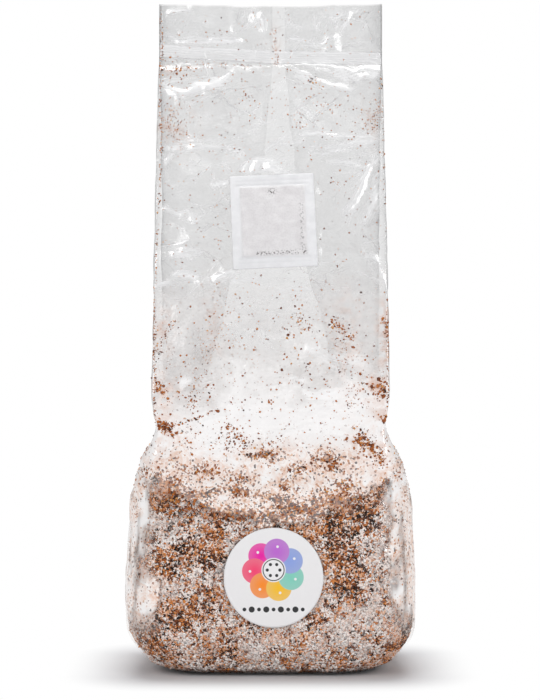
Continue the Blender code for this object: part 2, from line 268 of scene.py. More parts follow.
def loop_points(travel, side, face, z):
    """Points of the film for every column and every height, as an array of rows."""
    x, y, inward = quarter_point(travel[None, :], z[:, None])
    points = np.empty((len(z), len(travel), 3))
    points[..., 0] = x * side
    points[..., 1] = y * face
    points[..., 2] = z[:, None]
    along_fold = np.stack([side[None, :] * 0.05 + 0 * x, 0 * x, points[..., 2]], -1)
    waver = FOLD_WAVER * layered_noise(along_fold, 0.045, 17) * smooth((z[:, None] - 0.21) / 0.05)
    lean = FOLD_LEAN * smooth((z[:, None] - 0.27) / 0.12)
    points[..., 0] += (lean + waver * smooth((SEAL_LOW - z[:, None]) / 0.05)) * inward
    return points


def grid_normals(points):
    """Outward normals of a grid whose rows run round the bag and whose columns run up."""
    along = np.roll(points, -1, axis=1) - np.roll(points, 1, axis=1)
    up = np.gradient(points, axis=0)
    normals = np.cross(along, up)
    return normals / np.maximum(np.linalg.norm(normals, axis=-1, keepdims=True), 1e-12)


# Meshes

def mesh_object(name, vertices, faces, material, attributes=None):
    mesh = bpy.data.meshes.new(name)
    vertices = np.asarray(vertices, np.float32).reshape(-1, 3)
    faces = [np.asarray(part, np.int32) for part in faces if len(part)]
    sizes = np.concatenate([np.full(len(part), part.shape[1], np.int32) for part in faces])
    corners = np.concatenate([part.ravel() for part in faces])
    mesh.vertices.add(len(vertices))
    mesh.vertices.foreach_set("co", vertices.ravel())
    mesh.loops.add(len(corners))
    mesh.loops.foreach_set("vertex_index", corners)
    mesh.polygons.add(len(sizes))
    starts = np.concatenate([[0], np.cumsum(sizes)[:-1]]).astype(np.int32)
    mesh.polygons.foreach_set("loop_start", starts)
    mesh.polygons.foreach_set("use_smooth", np.ones(len(sizes), bool))
    mesh.update(calc_edges=True)
    mesh.validate()
    for key, values in (attributes or {}).items():
        attribute = mesh.attributes.new(key, "FLOAT", "POINT")
        attribute.data.foreach_set("value", np.asarray(values, np.float32).ravel())
    mesh.materials.append(material)
    obj = bpy.data.objects.new(name, mesh)
    bpy.context.scene.collection.objects.link(obj)
    return obj


def ring_faces(rows, columns, start=0):
    """Quads of a grid that closes round, rows from low to high."""
    row, column = np.meshgrid(np.arange(rows - 1), np.arange(columns), indexing="ij")
    following = (column + 1) % columns
    low, high = row * columns, (row + 1) * columns
    quads = np.stack([low + column, low + following, high + following, high + column], -1)
    return quads.reshape(-1, 4) + start


def fan(start, columns, hub):
    """Triangles from the vertices of a closed ring to a hub."""
    column = np.arange(columns)
    return np.stack([start + column, start + (column + 1) % columns, np.full(columns, hub)], -1)


def sheet_faces(rows, columns):
    row, column = np.meshgrid(np.arange(rows - 1), np.arange(columns - 1), indexing="ij")
    first = row * columns + column
    quads = np.stack([first, first + 1, first + columns + 1, first + columns], -1)
    return quads.reshape(-1, 4)


# Materials

class Nodes:
    """Short calls for building the nodes of one material or world."""

    def __init__(self, owner, output):
        owner.use_nodes = True
        self.owner = owner
        self.tree = owner.node_tree
        self.tree.nodes.clear()
        self.output = self.add(output)

    def add(self, kind, **settings):
        node = self.tree.nodes.new(kind)
        for key, value in settings.items():
            setattr(node, key, value)
        return node

    def link(self, source, target):
        self.tree.links.new(source, target)

    def put(self, socket, value):
        if isinstance(value, bpy.types.NodeSocket):
            self.link(value, socket)
        elif isinstance(value, (tuple, list)) and len(value) == 3 and socket.type == "RGBA":
            socket.default_value = (*value, 1.0)
        else:
            socket.default_value = value

    def fill(self, node, *values, **named):
        """Fills sockets in order, or by name with _ for a space, and gives the node's outputs."""
        for socket, value in zip(node.inputs, values):
            self.put(socket, value)
        for key, value in named.items():
            self.put(node.inputs[key.replace("_", " ")], value)
        return node.outputs

    def surface(self, shader):
        self.link(shader, self.output.inputs["Surface"])

    def place(self):
        return self.add("ShaderNodeTexCoord").outputs["Object"]

    def scaled(self, vector, scale):
        return self.fill(self.add("ShaderNodeMapping"), Vector=vector, Scale=scale)["Vector"]

    def turned(self, vector, angle):
        """The vector turned about the Y axis."""
        node = self.add("ShaderNodeMapping")
        return self.fill(node, Vector=vector, Rotation=(0.0, angle, 0.0))["Vector"]

    def parts(self, vector):
        return self.fill(self.add("ShaderNodeSeparateXYZ"), vector)

    def math(self, operation, first, second=0.0, clamp=False):
        node = self.add("ShaderNodeMath", operation=operation, use_clamp=clamp)
        return self.fill(node, first, second)[0]

    def chain(self, operation, values, clamp):
        result, *others = values
        for other in others:
            result = self.math(operation, result, other, clamp)
        return result

    def times(self, *values, clamp=False):
        return self.chain("MULTIPLY", values, clamp)

    def plus(self, *values, clamp=False):
        return self.chain("ADD", values, clamp)

    def minus(self, first, second):
        return self.math("SUBTRACT", first, second)

    def length(self, x, y):
        return self.math("SQRT", self.plus(self.times(x, x), self.times(y, y)))

    def span(self, value, low, high, out_low=0.0, out_high=1.0):
        """Maps low..high smoothly onto out_low..out_high."""
        node = self.add("ShaderNodeMapRange", interpolation_type="SMOOTHSTEP")
        ends = {"From_Min": low, "From_Max": high, "To_Min": out_low, "To_Max": out_high}
        return self.fill(node, Value=value, **ends)["Result"]

    def noise(self, vector, scale, detail=3.0, rough=0.5, distortion=0.0, output="Fac"):
        node = self.add("ShaderNodeTexNoise")
        levels = {"Scale": scale, "Detail": detail, "Roughness": rough, "Distortion": distortion}
        return self.fill(node, Vector=vector, **levels)[output]

    def voronoi(self, vector, scale, feature="F1", output="Distance"):
        node = self.add("ShaderNodeTexVoronoi", feature=feature)
        return self.fill(node, Vector=vector, Scale=scale)[output]

    def warped(self, vector, scale, reach):
        """The vector pushed about by noise, up to reach."""
        centred = self.add("ShaderNodeVectorMath", operation="SUBTRACT")
        wander = self.fill(centred, self.noise(vector, scale, 2.0, output="Color"), (0.5, 0.5, 0.5))[0]
        sized = self.fill(self.add("ShaderNodeVectorMath", operation="SCALE"), wander, Scale=reach)[0]
        return self.fill(self.add("ShaderNodeVectorMath", operation="ADD"), vector, sized)[0]

    def mix(self, factor, first, second):
        node = self.add("ShaderNodeMix", data_type="RGBA")
        return self.fill(node, Factor=factor, A=first, B=second)["Result"]

    def steps(self, value, stops):
        """Picks the colour of the last stop below the value."""
        node = self.add("ShaderNodeValToRGB")
        node.color_ramp.interpolation = "CONSTANT"
        elements = node.color_ramp.elements
        while len(elements) < len(stops):
            elements.new(1.0)
        for element, (position, colour) in zip(elements, stops):
            element.position = position
            element.color = (*colour, 1.0)
        return self.fill(node, Fac=value)["Color"]

    def attribute(self, name):
        return self.add("ShaderNodeAttribute", attribute_name=name).outputs["Fac"]

    def bump(self, height, distance, strength=1.0):
        node = self.add("ShaderNodeBump")
        return self.fill(node, Strength=strength, Distance=distance, Height=height)["Normal"]

    def principled(self, **values):
        self.surface(self.fill(self.add("ShaderNodeBsdfPrincipled"), **values)[0])


def new_material(name):
    return Nodes(bpy.data.materials.new(name), "ShaderNodeOutputMaterial")


def creases(n, place, scale, width, share):
    """Thin broken lines along the borders of irregular cells that are wider than tall."""
    cells = n.warped(n.scaled(place, (1.0, 1.0, 1.5)), scale * 1.3, 0.45 / scale)
    edge = n.voronoi(cells, scale, "DISTANCE_TO_EDGE")
    shown = n.span(n.noise(place, scale * 1.1, 2.0, 0.6), 1 - share, 1 - share + 0.10)
    return n.times(n.span(edge, width, 0.0), shown)


def streaks(n, place, tilt, scale):
    """Narrow streaks of painted highlight that rise to the right by tilt degrees."""
    along = n.scaled(n.turned(place, math.radians(tilt)), (1.0, 1.0, 5.5))
    return n.span(n.noise(along, scale, 4, 0.62, 0.5), 0.50, 0.60)


# Husk and grain that show through the mycelium pressed on the film
SPECK_COLOURS = (
    (0.00, (0.030, 0.002, 0.000)),
    (0.20, (0.120, 0.020, 0.002)),
    (0.40, (0.300, 0.080, 0.008)),
    (0.62, (0.520, 0.180, 0.030)),
    (0.84, (0.680, 0.380, 0.210)),
)


# The film's own attributes, and the tilt in degrees of the streaks of light in each kind of sheen
FILM_SHARES = ("crest_highlight", "weld", "fog", "rust", "touch", "leaf", "fold", "speck")
SHEEN_TILTS = {"sheen_flat": 2, "sheen_fall": -19, "sheen_rise": 15, "sheen_steep": 60}


def film_material():
    n = new_material("clear_film")
    place = n.place()
    crest_highlight, weld, fog, rust, touch, leaf, fold, speck = map(n.attribute, FILM_SHARES)

    # White lines along fine creases: painted highlight, with some of the film's whitening at creases
    lines = n.times(creases(n, place, 24, 0.028, 0.50), 0.75)
    lines = n.plus(lines, n.times(creases(n, place, 62, 0.05, 0.44), 0.4))
    lines = n.times(lines, n.span(fog, 0.0, 0.35, 1.0, 0.0))
    cloud = n.noise(n.scaled(place, (1.0, 1.0, 1.4)), 42, 5, 0.62, 1.2)
    smear = n.span(cloud, 0.46, 0.74)
    # Painted highlights: streaks of light where the sheen spots lie
    sheen = 0.0
    for name, tilt in SHEEN_TILTS.items():
        sheen = n.plus(sheen, n.times(n.attribute(name), streaks(n, place, tilt, 30)), clamp=True)

    outer = n.span(leaf, 0, 1, 1.0, 0.40)
    free = n.times(n.minus(1.0, touch), outer)
    clear = n.times(
        n.span(touch, 0, 1, 0.178, 0.020),
        outer,
        n.plus(1.0, n.times(fold, 0.9)),
        n.span(weld, 0, 1, 1.0, 0.3),
        n.span(fog, 0, 0.6, 1.0, 0.35),
    )
    pale = n.plus(n.times(weld, outer, 0.66), n.times(smear, free, 0.10))
    # White laid on the film: painted highlight on fold crests, sheen streaks and fine creases, the weld's
    # own white and a soft haze
    white = n.plus(n.times(crest_highlight, 0.90), n.times(sheen, 0.80), n.times(lines, free, 0.42), pale)
    rusty = n.times(rust, 0.85)
    laid = n.plus(white, fog, rusty)
    alpha = n.plus(clear, laid, clamp=True)

    bent = n.warped(place, 600, 0.0011)
    pick, chance, _ = n.parts(n.voronoi(bent, 790, "F1", "Color"))
    specked = n.span(n.minus(speck, chance), -0.03, 0.03)
    threads = n.noise(place, 130, 6, 0.78, 1.6)
    cover = n.mix(n.span(threads, 0.36, 0.60), (0.80, 0.50, 0.36), (0.985, 0.925, 0.890))
    cover = n.mix(n.span(speck, 0.0, 0.14), (0.985, 0.965, 0.955), cover)
    cover = n.mix(specked, cover, n.steps(pick, SPECK_COLOURS))
    cover = n.mix(n.math("DIVIDE", rusty, n.plus(laid, 0.001)), cover, (0.62, 0.23, 0.07))
    laid_colour = n.mix(n.math("DIVIDE", white, n.plus(laid, 0.001)), cover, (0.98, 0.98, 0.985))
    colour = n.mix(n.math("DIVIDE", laid, n.plus(laid, clear)), (0.34, 0.34, 0.345), laid_colour)

    fine = n.noise(n.scaled(place, (1.0, 1.0, 0.6)), 150, 4, 0.6, 1.0)
    broad = n.noise(n.scaled(place, (1.0, 1.0, 1.5)), 38, 3, 0.55, 0.8)
    height = n.plus(n.times(fine, 0.22), n.times(n.math("ABSOLUTE", n.minus(broad, 0.5)), 0.55))
    normal = n.bump(height, 0.0022, 0.75)

    n.principled(
        Base_Color=colour,
        Roughness=n.span(fog, 0.2, 0.9, 0.18, 0.50),
        IOR=2.2,
        Coat_Weight=0.8,
        Coat_Roughness=0.06,
        Coat_IOR=1.9,
        Alpha=alpha,
        Normal=normal,
    )
    return n.owner


GRAIN_COLOURS = (
    (0.00, (0.014, 0.007, 0.005)),
    (0.12, (0.060, 0.021, 0.012)),
    (0.23, (0.190, 0.054, 0.018)),
    (0.35, (0.440, 0.132, 0.030)),
    (0.47, (0.740, 0.270, 0.070)),
    (0.57, (0.840, 0.440, 0.240)),
    (0.67, (0.920, 0.660, 0.540)),
    (0.77, (0.985, 0.860, 0.800)),
    (0.88, (0.990, 0.945, 0.915)),
)


# Colour of the painted shade in the block's crease and under its rolled base
DEEP_SHADE = (0.050, 0.020, 0.010)


def block_material():
    """Close-packed husk and grain: a speck of one colour in each cell, whiter where overgrown."""
    n = new_material("colonised_substrate")
    place = n.place()
    overgrown = n.attribute("overgrown")
    shade = n.attribute("shade")
    bent = n.warped(place, 700, 0.0009)
    cell_colour = n.voronoi(bent, 560, "F1", "Color")
    pick, whiteness, _ = n.parts(cell_colour)
    colour = n.steps(pick, GRAIN_COLOURS)
    small = n.steps(n.parts(n.voronoi(bent, 980, "F1", "Color"))[1], GRAIN_COLOURS)
    colour = n.mix(n.span(n.noise(place, 330, 2), 0.47, 0.53), colour, small)
    white = n.span(n.minus(overgrown, whiteness), -0.02, 0.02)
    colour = n.mix(n.times(white, 0.55), colour, (0.93, 0.88, 0.86))
    gaps = n.voronoi(bent, 560, "DISTANCE_TO_EDGE")
    # Painted shade: the colour darkens towards the gaps between the grain cells
    colour = n.mix(n.span(gaps, 0.0, 0.08, 0.6, 0.0), colour, (0.030, 0.016, 0.010))
    # Painted shade from the shade attribute: the rim crease and the rolled base
    colour = n.mix(n.times(shade, 0.9), colour, DEEP_SHADE)
    height = n.plus(n.times(gaps, 2.0), n.noise(place, 700, 3))
    normal = n.bump(height, 0.0009, 0.8)
    n.principled(Base_Color=colour, Roughness=0.85, Specular_IOR_Level=0.2, Normal=normal)
    return n.owner


def grain_material():
    n = new_material("loose_grain")
    place = n.place()
    colour = n.steps(n.attribute("tint"), GRAIN_COLOURS)
    mottle = n.noise(place, 900, 3, 0.6)
    husk = n.span(n.attribute("tint"), 0.70, 0.80, 0.35, 0.08)
    colour = n.mix(n.times(n.span(mottle, 0.45, 0.70), husk), colour, (0.10, 0.04, 0.02))
    threads = n.span(n.noise(place, 300, 5, 0.72, 1.5), 0.52, 0.60)
    colour = n.mix(n.times(threads, n.attribute("overgrown")), colour, (0.98, 0.93, 0.90))
    # Painted shade from the shade attribute: the rim crease and the rolled base
    colour = n.mix(n.times(n.attribute("shade"), 0.85), colour, DEEP_SHADE)
    normal = n.bump(mottle, 0.0004, 0.5)
    n.principled(Base_Color=colour, Roughness=0.8, Specular_IOR_Level=0.2, Normal=normal)
    return n.owner


def crumb_material():
    n = new_material("brown_crumb")
    place = n.place()
    stops = (
        (0.0, (0.060, 0.016, 0.005)),
        (0.10, (0.160, 0.038, 0.008)),
        (0.27, (0.340, 0.086, 0.013)),
        (0.50, (0.540, 0.165, 0.026)),
        (0.78, (0.720, 0.330, 0.095)),
    )
    colour = n.steps(n.attribute("tint"), stops)
    mottle = n.noise(place, 1100, 3, 0.6)
    colour = n.mix(n.span(mottle, 0.48, 0.68, 0.0, 0.35), colour, (0.09, 0.03, 0.01))
    n.principled(Base_Color=colour, Roughness=0.6, Normal=n.bump(mottle, 0.0003, 0.5))
    return n.owner


def patch_material():
    n = new_material("filter_membrane")
    place = n.place()
    inner = n.attribute("inner")
    fibres = n.noise(n.scaled(place, (1.0, 1.0, 0.35)), 900, 4, 0.7, 2.0)
    cloud = n.noise(place, 130, 4, 0.6)
    white = n.mix(n.span(cloud, 0.35, 0.65), (0.82, 0.82, 0.835), (0.77, 0.77, 0.785))
    rosy = n.mix(n.span(cloud, 0.3, 0.7), (0.700, 0.680, 0.688), (0.780, 0.765, 0.772))
    colour = n.mix(inner, white, rosy)
    colour = n.mix(n.times(n.attribute("line"), 0.35), colour, (0.64, 0.64, 0.66))
    specks = n.span(n.voronoi(place, 760), 0.52, 0.34)
    colour = n.mix(n.times(specks, n.attribute("dust"), clamp=True), colour, (0.05, 0.035, 0.033))
    height = n.plus(n.times(fibres, 0.8), n.times(cloud, 0.8))
    n.principled(Base_Color=colour, Roughness=0.62, Sheen_Weight=0.1, Normal=n.bump(height, 0.0005, 0.5))
    return n.owner


LABEL_HUES = (
    (0.82, 0.00, 0.36),
    (0.90, 0.05, 0.16),
    (0.95, 0.26, 0.01),
    (0.93, 0.52, 0.01),
    (0.22, 0.62, 0.50),
    (0.26, 0.36, 0.74),
    (0.50, 0.13, 0.62),
)
LABEL_WHITE = (0.85, 0.84, 0.845)
LABEL_INK = (0.018, 0.018, 0.020)
ROSETTE_Z = 0.0055
ROSETTE_REACH = 0.0135
PETAL_RADIUS = 0.0092


def label_material():
    """White paper with a rosette of round petals in bright colours over a row of dots."""
    n = new_material("label_paper")
    place = n.place()
    across, _, up = n.parts(place)
    x = n.minus(across, LABEL_CENTRE[0])
    y = n.minus(up, LABEL_CENTRE[1])

    def disc(colour, centre_x, centre_y, radius, fill, rim=None):
        away = n.length(n.minus(x, centre_x), n.minus(y, centre_y))
        inside = n.span(away, radius, radius - 0.0003)
        shade = fill if rim is None else n.mix(n.span(away, 0.0, radius), fill, rim)
        return n.mix(inside, colour, shade)

    colour = n.mix(n.noise(place, 420, 4, 0.6), LABEL_WHITE, tuple(0.96 * part for part in LABEL_WHITE))
    for index, hue in enumerate(LABEL_HUES):
        angle = 2 * math.pi * index / len(LABEL_HUES) + 2.3
        centre = (ROSETTE_REACH * math.cos(angle), ROSETTE_Z + ROSETTE_REACH * math.sin(angle))
        pale = tuple(0.82 * part + 0.10 for part in hue)
        colour = disc(colour, *centre, PETAL_RADIUS, hue, pale)
        dot = (centre[0] * 1.25, ROSETTE_Z + (centre[1] - ROSETTE_Z) * 1.25)
        colour = disc(colour, *dot, 0.0011, LABEL_WHITE)
    for radius, fill in ((0.0088, LABEL_WHITE), (0.0080, LABEL_INK), (0.0073, LABEL_WHITE)):
        colour = disc(colour, 0.0, ROSETTE_Z, radius, fill)
    for ring in range(6):
        angle = 2 * math.pi * ring / 6
        spot = (0.0045 * math.cos(angle), ROSETTE_Z + 0.0045 * math.sin(angle))
        colour = disc(colour, *spot, 0.0013, LABEL_INK)
    for index in range(9):
        size = 0.0023 if index % 2 else 0.0015
        colour = disc(colour, (index - 4) * 0.0052, -0.0226, size, LABEL_INK)
    grain = n.noise(place, 1500, 3, 0.6)
    n.principled(Base_Color=colour, Roughness=0.45, Normal=n.bump(grain, 0.0001, 0.25))
    return n.owner


# The floor's grey near the bag is partly painted shade, set darker to deepen the shadow round the base
FLOOR_COLOUR = (0.68, 0.68, 0.70)
FLOOR_TURNS_WHITE = (0.010, 0.075)


def floor_material():
    """Pale floor that turns white away from the bag, so that no horizon shows."""
    n = new_material("pale_floor")
    x, y, _ = n.parts(n.place())
    beside = n.math("MAXIMUM", n.minus(n.math("ABSOLUTE", x), 0.08), 0.0)
    before = n.math("MAXIMUM", n.minus(n.math("ABSOLUTE", y), 0.05), 0.0)
    away = n.length(beside, before)
    path = n.add("ShaderNodeLightPath").outputs
    seen = n.math("MAXIMUM", path["Is Camera Ray"], path["Is Glossy Ray"])
    seen = n.math("MAXIMUM", seen, path["Is Transmission Ray"])
    # Grey near the bag: real shadow falls on it, and its own darkness is partly painted shade
    near = n.fill(n.add("ShaderNodeBsdfDiffuse"), Color=FLOOR_COLOUR)[0]
    far = n.add("ShaderNodeEmission").outputs[0]
    share = n.times(n.span(away, *FLOOR_TURNS_WHITE), seen)
    n.surface(n.fill(n.add("ShaderNodeMixShader"), share, near, far)[0])
    return n.owner


# Folds that the photograph shows: width and height in tenths of a millimetre, brightness, and then
# the pixels along each one, as x and y in turn
NAMED_FOLDS = (
    # Under the seal, left
    (22, 15, 1.0, 162, 81, 171, 92, 185, 92, 211, 87, 226, 78, 238, 72),
    (16, 8, 0.9, 168, 92, 180, 95, 196, 91, 214, 85), (14, 6, 0.35, 174, 96, 190, 103, 214, 97),
    (16, 7, 0.6, 166, 59, 180, 63, 199, 61),
    # Under the seal, right
    (18, 10, 0.9, 293, 64, 317, 64, 349, 70, 383, 65),
    (16, 12, 0.9, 289, 67, 303, 75, 325, 83, 348, 91, 357, 86),
    (16, 10, 0.9, 310, 67, 330, 72, 345, 80, 350, 88), (18, 12, 1.0, 330, 67, 348, 76, 357, 80, 371, 72),
    (18, 12, 1.0, 338, 66, 357, 75, 373, 78, 383, 72), (26, 10, 0.9, 362, 67, 374, 71, 383, 68),
    (11, 8, 0.9, 301, 108, 313, 116),
    # Between seal and patch, left
    (13, 13, 0.85, 164, 146, 182, 144, 226, 147, 239, 151, 247, 158),
    (12, 8, 0.6, 166, 149, 200, 148, 228, 149), (16, 8, 0.3, 176, 140, 230, 139, 249, 134, 271, 121),
    (12, 6, 0.6, 164, 167, 174, 153), (15, 11, 0.9, 208, 181, 214, 187, 231, 182),
    (14, 7, 0.35, 222, 160, 230, 170, 236, 176), (15, 9, 0.75, 163, 206, 173, 213, 188, 216),
    (14, 7, 0.35, 184, 207, 193, 218, 196, 228), (12, 9, 0.85, 181, 252, 190, 250, 202, 252),
    (12, 9, 0.8, 171, 255, 182, 256, 188, 257, 195, 262), (13, 9, 0.85, 171, 274, 183, 273, 202, 277),
    (12, 7, 0.6, 153, 289, 163, 284, 173, 280), (15, 11, 0.9, 211, 281, 226, 276, 239, 270),
    (12, 9, 0.8, 229, 283, 240, 280, 264, 281),
    # Over the patch
    (20, 12, 1.0, 243, 174, 247, 166, 251, 161, 256, 172),
    (22, 12, 1.0, 248, 174, 262, 163, 269, 168, 281, 173), (20, 10, 0.9, 252, 160, 268, 163, 282, 172),
    (18, 8, 0.7, 270, 160, 274, 168, 288, 173), (13, 7, 0.5, 262, 156, 276, 143, 287, 136),
    (13, 6, 0.45, 273, 138, 281, 146, 291, 141),
    # Between seal and patch, right
    (12, 11, 0.85, 293, 132, 310, 134, 349, 137, 383, 139), (11, 8, 0.7, 288, 146, 296, 144, 308, 142),
    (13, 11, 0.85, 305, 153, 325, 153, 357, 144, 384, 140), (14, 6, 0.4, 310, 148, 340, 147, 372, 145),
    (12, 10, 0.85, 324, 161, 341, 161, 366, 167),
    (20, 16, 0.9, 384, 153, 370, 166, 365, 179, 357, 201, 341, 218),
    (18, 12, 0.85, 376, 188, 371, 206, 365, 219, 364, 226), (14, 8, 0.5, 368, 174, 350, 192),
    (13, 8, 0.5, 384, 168, 376, 178, 371, 192), (16, 9, 0.45, 371, 250, 378, 268, 389, 292),
    (16, 6, 0.3, 362, 248, 374, 274, 384, 288),
    # The loose leaves over the seal
    (12, 10, 0.85, 164, 34, 179, 42, 210, 43, 239, 37), (16, 9, 0.9, 209, 43, 226, 42, 246, 40),
    (14, 11, 0.9, 284, 37, 301, 40, 322, 43, 338, 37), (12, 7, 0.6, 300, 44, 318, 46, 330, 41),
    (14, 7, 0.4, 238, 30, 254, 21, 252, 10), (22, 10, 0.75, 259, 10, 263, 20, 265, 33),
    (12, 7, 0.6, 164, 13, 180, 10, 198, 9), (13, 6, 0.5, 176, 30, 184, 33, 202, 35),
    (10, 5, 0.5, 171, 25, 175, 20), (13, 7, 0.45, 317, 13, 314, 25, 324, 32),
    (12, 8, 0.55, 329, 14, 338, 21, 333, 30), (13, 9, 0.75, 351, 10, 346, 20, 341, 31),
    (14, 6, 0.35, 357, 15, 366, 24, 360, 33), (14, 6, 0.4, 284, 12, 292, 24, 306, 30),
    # Low on the front, over the headspace
    (13, 9, 0.9, 300, 389, 306, 393, 319, 396, 338, 392), (13, 6, 0.6, 289, 378, 306, 379),
    (12, 5, 0.6, 268, 386, 279, 387), (26, 8, 0.6, 304, 347, 313, 351, 322, 349),
    (20, 9, 0.35, 322, 358, 338, 370, 352, 388), (20, 6, 0.5, 178, 388, 192, 378),
    (30, 7, 0.7, 200, 424, 212, 417), (34, 7, 0.7, 228, 404, 243, 408, 252, 414),
    (18, 5, 0.3, 275, 293, 300, 289, 315, 290),
)


def distance_to_line(x, z, points):
    """Distance of each x, z to a bent line, and the share of its length there."""
    best = np.full(x.shape, 1e9)
    share = np.zeros(x.shape)
    lengths = [math.dist(a, b) for a, b in zip(points, points[1:])]
    total, before = sum(lengths), 0.0
    for (ax, az), (bx, bz), length in zip(points, points[1:], lengths):
        along = np.clip(((x - ax) * (bx - ax) + (z - az) * (bz - az)) / length**2, 0, 1)
        away = np.hypot(x - ax - along * (bx - ax), z - az - along * (bz - az))
        nearer = away < best
        best = np.where(nearer, away, best)
        share = np.where(nearer, (before + along * length) / total, share)
        before += length
    return best, share


def cell_distance(unrolled, cell, seed):
    """Distance to the nearest of a jittered grid of points, in shares of a cell."""
    columns = max(3, round(AROUND / cell[0]))
    width = AROUND / columns
    rows = math.ceil(0.56 / cell[1]) + 4
    jitter = np.random.default_rng(seed).random((columns, rows, 2))
    u = unrolled[..., 0] / width
    v = unrolled[..., 1] / cell[1] + 2
    column, row = np.floor(u).astype(int), np.floor(v).astype(int)
    nearest = np.full(u.shape, 9.0)
    for di in (-1, 0, 1):
        for dj in (-1, 0, 1):
            spot = jitter[(column + di) % columns, np.clip(row + dj, 0, rows - 1)]
            away = np.hypot(column + di + spot[..., 0] - u, row + dj + spot[..., 1] - v)
            nearest = np.minimum(nearest, away)
    return nearest


# Crumple of the loose film: cell width, cell height and rise in metres
CRUMPLE = (
    (0.050, 0.027, 0.0030),
    (0.026, 0.015, 0.0011),
    (0.012, 0.0085, 0.00038),
)


def random_folds(unrolled, count, seed, length, width, height, low, high):
    """Straight sharp folds scattered over the unrolled film."""
    rng = np.random.default_rng(seed)
    result = np.zeros(unrolled.shape[:-1])
    for _ in range(count):
        centre = np.array([rng.uniform(0, AROUND), rng.uniform(low, high)])
        angle = rng.normal(0, 0.5) if rng.random() < 0.65 else rng.uniform(0, math.pi)
        half = rng.uniform(*length) / 2
        reach = rng.uniform(*width)
        rise = rng.uniform(*height) * rng.choice((-1, 1))
        offset = unrolled - centre
        wrapped = (offset[..., 0] + AROUND / 2) % AROUND - AROUND / 2
        near = (np.abs(wrapped) < half + reach) & (np.abs(offset[..., 1]) < half + reach)
        dx, dz = wrapped[near], offset[..., 1][near]
        along = dx * math.cos(angle) + dz * math.sin(angle)
        away = np.abs(-dx * math.sin(angle) + dz * math.cos(angle))
        tent = np.clip(1 - away / reach, 0, 1)
        ends = smooth(1.15 - np.abs(along) / half)
        result[near] += rise * tent * ends
    return result


def ridged(points, size, seed):
    return 1 - 2 * np.abs(lattice_noise(points, size, seed))


def seal_line(x):
    """Height of the weld's middle at each x."""
    rise = np.where(x < 0, SEAL_LEFT_RISE * -x, -SEAL_RIGHT_DROP * x) / PANEL_HALF_WIDTH
    return SEAL_CENTRE_Z + rise


def patch_local(x, z):
    """Places in the patch's own turned frame."""
    dx, dz = x - PATCH_CENTRE[0], z - PATCH_CENTRE[1]
    cos, sin = math.cos(PATCH_TILT), math.sin(PATCH_TILT)
    return dx * cos + dz * sin, -dx * sin + dz * cos


def front_pixels(points):
    """Pixels of the photograph that the film's places would fall on, were they on its front."""
    return photo_pixel(points[..., 0], points[..., 2], -folded_widths(points[..., 2])[1])


def named_folds(px, py, front, wobble):
    """Rise and brightness of the folds that the photograph shows."""
    rise = np.zeros(px.shape)
    crest_highlight = np.zeros(px.shape)
    for width, height, bright, *along in NAMED_FOLDS:
        pixels = list(zip(along[::2], along[1::2]))
        away, share = distance_to_line(px + wobble * 1.6, py + wobble * 1.6, pixels)
        away = away * PIXEL
        width = width / TENTHS * (0.85 + 0.55 * (1 + wobble))
        ends = smooth(np.minimum(share, 1 - share) * 5 + 0.1)
        rise += height / TENTHS * np.exp(-away / width) * ends * front
        # The white on each crest is painted highlight, with some of the film's whitening at creases
        crest_highlight = np.maximum(crest_highlight, bright * bell(away, 0.62 * width) * ends * front)
    return rise, crest_highlight


# Where the loose film is drawn flat: pixel, half width and half height in pixels, and share
DRAWN_FLAT = ((169, 308, 10, 22, 0.85),)


def film_displacement(points, unrolled, front):
    """How far the film stands off its plain shape."""
    x, z = points[..., 0], points[..., 2]
    free = smooth((z - FREE_FROM) / 0.030)
    stretched = points * np.array([0.75, 0.75, 1.15])
    bent = unrolled.copy()
    bent[..., 0] += 0.010 * layered_noise(points, 0.035, 12)
    bent[..., 1] += 0.006 * layered_noise(points, 0.030, 14)
    loose = layered_noise(stretched, 0.060, 11) * 0.0013
    for index, (width, height, rise) in enumerate(CRUMPLE):
        loose = loose + rise * (cell_distance(bent, (width, height), 23 + index) - 0.4)
    loose = loose + random_folds(
        unrolled, 260, SEED, (0.012, 0.055), (0.003, 0.007), (0.0002, 0.0008), 0.12, 0.50)
    lumps = layered_noise(points, 0.011, 31, 2) * 0.00045
    pleats = ridged(points * np.array([1.8, 1.8, 0.16]), 0.012, 41) * 0.0008
    on_side = smooth((np.abs(x) - 0.080) / 0.012)
    loose = loose * (1 - front * spread_share(*front_pixels(points), DRAWN_FLAT))
    total = loose * free + (lumps + pleats * on_side) * (1 - free)

    u, v = patch_local(x, z)
    under_patch = smooth((PATCH_WIDTH / 2 + 0.006 - np.abs(u)) / 0.006)
    under_patch = under_patch * smooth((PATCH_HEIGHT / 2 + 0.006 - np.abs(v)) / 0.006) * front
    label_away = np.hypot(x - LABEL_CENTRE[0], z - LABEL_CENTRE[1])
    under_label = smooth((LABEL_RADIUS + 0.004 - label_away) / 0.005) * front
    from_fold = np.minimum(unrolled[..., 0] % (2 * QUARTER), -unrolled[..., 0] % (2 * QUARTER))
    total = total * (1 - 0.6 * free * bell(from_fold - PANEL_HALF_WIDTH, 0.008))
    return total * (1 - 0.93 * under_patch) * (1 - 0.9 * under_label)


# How foggy the film is at each row of the photograph
FOG_ROWS = (0, 262, 290, 320, 350, 380, 405, 430, 700)
FOG_LEVELS = (0.0, 0.02, 0.20, 0.36, 0.46, 0.66, 0.92, 1.20, 1.20)

# How far under the block's rim the fog reaches, and how ragged its lower edge is
FOG_UNDER_RIM = 0.0048
FOG_RAGGED = 0.0052

